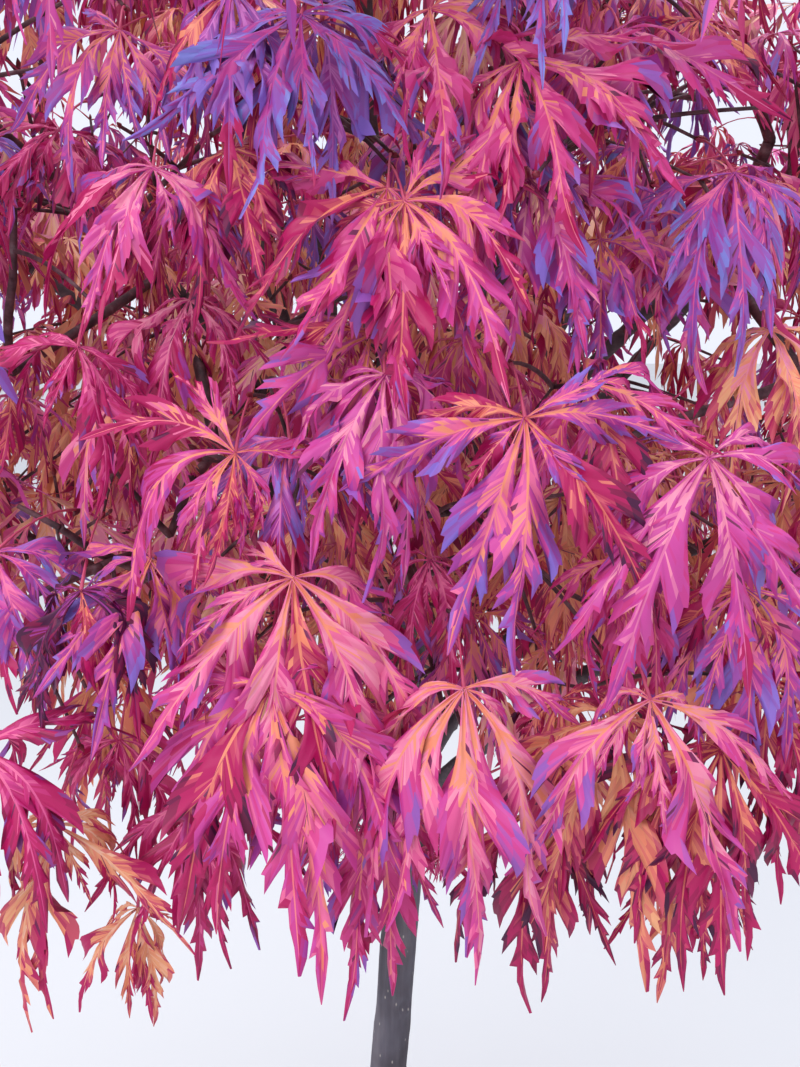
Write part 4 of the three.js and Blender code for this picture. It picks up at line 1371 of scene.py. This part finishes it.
bough_piece = make_boughs_piece()
finish_piece(bough_piece, "boughs", bough_bark())
dress(bough_piece, "bough_bark", *[f"bough_{bough['mass']['label']}" for bough in boughs])


# Trunk: a ring at the soil, drawn up its leaning line a little at a time
def make_trunk():
    top = TRUNK["fork_height"] + TRUNK_MESH["past_fork"]
    heights = np.linspace(SOIL["top"] - TRUNK["spare"] / 2, top, TRUNK_MESH["rings"])
    place = Vector(trunk_point(heights[0]))
    radius = trunk_radius(heights[0])
    deselect_all()
    sides = TRUNK_MESH["sides"]
    bpy.ops.mesh.primitive_circle_add(vertices=sides, radius=radius, fill_type="NGON", location=place)
    trunk = bpy.context.object
    bpy.ops.object.mode_set(mode="EDIT")
    bpy.ops.mesh.select_all(action="SELECT")
    for height in heights[1:]:
        after, wide = Vector(trunk_point(height)), trunk_radius(height)
        bpy.ops.mesh.extrude_region_move(TRANSFORM_OT_translate={"value": after - place})
        bpy.ops.transform.resize(value=(wide / radius, wide / radius, 1), center_override=after)
        place, radius = after, wide
    bpy.ops.mesh.inset(thickness=TRUNK_MESH["top_inset"])
    bpy.ops.mesh.select_all(action="DESELECT")
    bpy.ops.mesh.select_non_manifold()
    bpy.ops.mesh.edge_face_add()
    bpy.ops.mesh.select_all(action="SELECT")
    bpy.ops.mesh.normals_make_consistent(inside=False)
    bpy.ops.object.mode_set(mode="OBJECT")
    bpy.ops.object.transform_apply(location=True, rotation=True, scale=True)
    return trunk


def scar_relief(height, angle):
    """The rims and hollow middles of the healed scars at a place on the trunk."""
    move = 0
    for scar_height, turn, size in SCARS:
        across = trunk_radius(height) * math.remainder(angle - math.radians(turn), math.tau)
        away = math.hypot(across, (height - scar_height) * SCAR["stretch"]) / size
        rim = SCAR["rim"] * math.exp(-((away - SCAR["rim_at"]) ** 2) * SCAR["sharp"])
        move += rim - SCAR["hollow"] * hump(away, SCAR["hollow_span"])
    return move


def shape_trunk(trunk):
    """Buttresses at the foot, healed scars, and the fine upright grain of the bark."""
    for corner in trunk.data.vertices:
        height = corner.co.z
        out = corner.co - Vector(trunk_point(min(max(height, TRUNK_FOOT), TRUNK["fork_height"])))
        out.z = 0
        if out.length < TRUNK_MESH["core"]:
            continue
        angle = math.atan2(out.y, out.x)
        out.normalize()
        move = trunk_radius(height, angle) - trunk_radius(height) + scar_relief(height, angle)
        bark = relief("bark_lumps", corner.co) + relief("bark_grain", corner.co)
        above_seam = height - GRAFT["height"] - GRAFT["wave"] * math.sin(2 * angle)
        seam = GRAFT["seam"] * hump(above_seam, GRAFT["seam_span"])
        corner.co += (move + bark - seam) * out


trunk_piece = make_trunk()
shape_trunk(trunk_piece)
only(trunk_piece)
bpy.ops.object.shade_smooth()
finish_piece(trunk_piece, "trunk_bark", trunk_bark())
dress(trunk_piece, "bark", "trunk")


# Pot: a tapering tub with a thick lip, two beads and drain holes
def pot_radius(height):
    return POT["foot"] + (POT["mouth"] - POT["foot"]) * height / POT["height"]


def add_tub(sides, foot, mouth, bottom, depth):
    """A closed tapering tub, open for shaping in edit mode."""
    deselect_all()
    bpy.ops.mesh.primitive_cone_add(
        vertices=sides, radius1=foot, radius2=mouth, depth=depth, location=(0, 0, bottom + depth / 2)
    )
    bpy.ops.object.transform_apply(location=True, rotation=True, scale=True)
    bpy.ops.object.mode_set(mode="EDIT")
    return bpy.context.object


def select_faces(piece, wanted):
    """In edit mode, select the faces whose middle and normal pass a test."""
    bpy.ops.mesh.select_mode(type="FACE")
    bpy.ops.mesh.select_all(action="DESELECT")
    mesh = bmesh.from_edit_mesh(piece.data)
    for face in mesh.faces:
        if wanted(face.calc_center_median(), face.normal):
            face.select_set(True)
    bmesh.update_edit_mesh(piece.data)


def select_top(piece):
    select_faces(piece, lambda middle, normal: normal.z > FACES_UP)


def move_band(piece, low, high, out):
    """Draw the pot's outer wall out between two heights."""

    def on_band(middle, normal):
        outer = middle.x * normal.x + middle.y * normal.y > 0
        return low < middle.z < high and outer and abs(normal.z) < FACES_OUT

    select_faces(piece, on_band)
    bpy.ops.mesh.extrude_region_shrink_fatten(TRANSFORM_OT_shrink_fatten={"value": out})


def make_pot():
    height, floor, wall = POT["height"], POT["floor"], POT["wall"]
    pot = add_tub(POT["sides"], POT["foot"], POT["mouth"], 0, height)
    select_top(pot)
    bpy.ops.mesh.inset(thickness=wall)
    bpy.ops.mesh.extrude_region_move(TRANSFORM_OT_translate={"value": (0, 0, floor - height)})
    shrink = (pot_radius(floor) - wall) / (POT["mouth"] - wall)
    bpy.ops.transform.resize(value=(shrink, shrink, 1), center_override=(0, 0, floor))
    lip_foot = height - POT_LIP["drop"]
    beads = [(at - POT_BEAD["half"], at + POT_BEAD["half"]) for at in POT_BEAD["heights"]]
    for cut in [POT_FOOT["height"], lip_foot, *beads[0], *beads[1]]:
        bpy.ops.mesh.select_all(action="SELECT")
        bpy.ops.mesh.bisect(plane_co=(0, 0, cut), plane_no=(0, 0, 1))
    for low, high in beads:
        move_band(pot, low, high, POT_BEAD["out"])
    move_band(pot, lip_foot, height, POT_LIP["out"])
    move_band(pot, 0, POT_FOOT["height"], -POT_FOOT["in"])
    bpy.ops.mesh.select_all(action="SELECT")
    bpy.ops.mesh.remove_doubles(threshold=POT_EDGES["weld"])
    bpy.ops.object.mode_set(mode="OBJECT")
    return pot


def drill_drains(pot):
    """Cut the drain holes through the pot's floor with one joined drill."""
    drills = []
    for k in range(DRAIN["count"]):
        place = polar(POT["foot"] - DRAIN["from_edge"], k * math.tau / DRAIN["count"], 0)
        deselect_all()
        size = {"vertices": DRAIN["sides"], "radius": DRAIN["radius"], "depth": DRAIN["drill"]}
        bpy.ops.mesh.primitive_cylinder_add(location=place, **size)
        drills.append(bpy.context.object)
    deselect_all()
    for drill in drills:
        drill.select_set(True)
    bpy.context.view_layer.objects.active = drills[0]
    bpy.ops.object.join()
    drill = bpy.context.object
    only(pot)
    cut = pot.modifiers.new("drains", "BOOLEAN")
    cut.operation = "DIFFERENCE"
    cut.object = drill
    bpy.ops.object.modifier_apply(modifier=cut.name)
    bpy.data.objects.remove(drill)


def round_pot(pot):
    only(pot)
    rounding = pot.modifiers.new("rounding", "BEVEL")
    rounding.width = POT_EDGES["round"]
    rounding.segments = POT_EDGES["steps"]
    rounding.angle_limit = math.radians(POT_EDGES["bevel_from"])
    rounding.harden_normals = False
    bpy.ops.object.modifier_apply(modifier=rounding.name)
    bpy.ops.object.shade_smooth_by_angle(angle=math.radians(POT_EDGES["smooth_under"]))


pot_piece = make_pot()
drill_drains(pot_piece)
round_pot(pot_piece)
finish_piece(pot_piece, "nursery_pot", pot_plastic())
dress(pot_piece, "pot", "pot")


# Soil: a plug that fills the pot, its top drawn in ring by ring and then made crumbly
def clamped(share):
    return min(max(share, 0), 1)


def soil_height(x, y):
    """The height of the crumbly top at a place."""
    out = math.hypot(x, y)
    fall = (SOIL["top"] - SOIL["edge"]) * clamped((out - SOIL["shoulder"]) / SOIL["slope"])
    fade = clamped((pot_radius(SOIL["edge"]) - POT["wall"] - out) / SOIL["fade"])
    return SOIL["top"] - fall + fade * (relief("soil_mounds", (x, y, 1)) + relief("soil_crumbs", (x, y, 1)))


def make_soil():
    foot = POT["floor"] + SOIL["foot_gap"]
    wide = pot_radius(SOIL["edge"]) - POT["wall"] - SOIL["side_gap"]
    narrow = pot_radius(foot) - POT["wall"] - SOIL["side_gap"]
    soil = add_tub(SOIL["sides"], narrow, wide, foot, SOIL["edge"] - foot)
    select_top(soil)
    for _ in range(SOIL["rings"]):
        bpy.ops.mesh.inset(thickness=wide / (SOIL["rings"] + 1))
    bpy.ops.mesh.poke()
    bpy.ops.object.mode_set(mode="OBJECT")
    for corner in soil.data.vertices:
        if corner.co.z > SOIL["edge"] - SOIL["slack"]:
            corner.co.z = soil_height(corner.co.x, corner.co.y)
    bpy.ops.object.shade_smooth_by_angle(angle=math.radians(SOIL["smooth_under"]))
    return soil


def scatter(name, litter, shape, material):
    """Small lumps or chips over the soil, each turned and sized by chance."""
    chance = np.random.default_rng(litter["seed"])
    base_corners, base_faces = shape
    parts = []
    while len(parts) < litter["count"]:
        x, y = chance.uniform(-LITTER["box"], LITTER["box"], 2)
        near_trunk = math.hypot(x - TRUNK["foot"][0], y - TRUNK["foot"][1]) < LITTER["off_trunk"]
        if math.hypot(x, y) > LITTER["reach"] or near_trunk:
            continue
        size = np.array(litter["half"]) * chance.uniform(*LITTER["size"])
        size = size * chance.uniform(*LITTER["sides"], 3)
        turn = chance.uniform(0, math.tau)
        lean, roll = chance.normal(0, litter["lean"]), chance.normal(0, litter["lean"])
        cos, sin = math.cos(turn), math.sin(turn)
        spin = np.array([[cos, -sin, 0], [sin, cos, 0], [0, 0, 1]])
        tilt = np.array([[1, 0, lean], [0, 1, roll], [-lean, -roll, 1]])
        bumpy = base_corners * chance.uniform(*LITTER["corners"], (len(base_corners), 1))
        place = np.array([x, y, soil_height(x, y) + LITTER["up"] * size[2]])
        parts.append(((bumpy * size) @ tilt.T @ spin.T + place, base_faces))
    dress(mesh_piece(name, *joined(parts), [material], smooth=False), "soil")


def taken_mesh():
    """The corners and three-sided faces of the active primitive, which is then taken away."""
    piece = bpy.context.object
    only(piece)
    bpy.ops.object.mode_set(mode="EDIT")
    bpy.ops.mesh.select_all(action="SELECT")
    bpy.ops.mesh.quads_convert_to_tris()
    bpy.ops.object.mode_set(mode="OBJECT")
    corners = np.array([corner.co[:] for corner in piece.data.vertices])
    faces = np.array([face.vertices[:] for face in piece.data.polygons])
    bpy.data.objects.remove(piece)
    return corners, faces


soil_piece = make_soil()
finish_piece(soil_piece, "soil_top", potting_mix())
dress(soil_piece, "soil", "potting_soil")
deselect_all()
bpy.ops.mesh.primitive_ico_sphere_add(subdivisions=1, radius=1)
lump = taken_mesh()
bpy.ops.mesh.primitive_cube_add(size=2)
block = taken_mesh()
scatter("soil_crumbs", CRUMBS, lump, potting_mix())
scatter("bark_chips", CHIPS, block, chip_wood())
scatter("grit", GRIT, lump, grit_stone())

# Floor, sky, lights and camera
bpy.ops.mesh.primitive_plane_add(size=FLOOR["size"], location=(0, 0, 0))
floor = bpy.context.object
finish_piece(floor, "floor", plain_material("pale_floor", FLOOR["colour"], FLOOR["roughness"]))

world = bpy.data.worlds.new("soft_light")
bpy.context.scene.world = world
world.use_nodes = True
sky = world.node_tree.nodes["Background"]
sky.inputs["Color"].default_value = SKY["colour"]
sky.inputs["Strength"].default_value = SKY["strength"]

for name, (place, target, size, power, colour) in LIGHTS.items():
    lamp = bpy.data.lights.new(name, "AREA")
    lamp.size = size
    lamp.energy = power
    lamp.color = colour
    light = add_object(name, lamp)
    light.location = place
    light.rotation_euler = (Vector(target) - Vector(place)).to_track_quat("-Z", "Y").to_euler()

camera_data = bpy.data.cameras.new("camera")
camera_data.sensor_width = CAMERA["sensor"]
camera_data.lens = CAMERA["sensor"] / 2 / math.tan(math.radians(CAMERA["upright_view"] / 2))
camera_data.clip_start = CAMERA["clip"]
camera = add_object("camera", camera_data)
camera.location = CAMERA["place"]
camera.rotation_euler = (math.radians(90 + CAMERA["tilt"]), 0, 0)
bpy.context.scene.camera = camera
bpy.context.scene.view_settings.view_transform = "Standard"
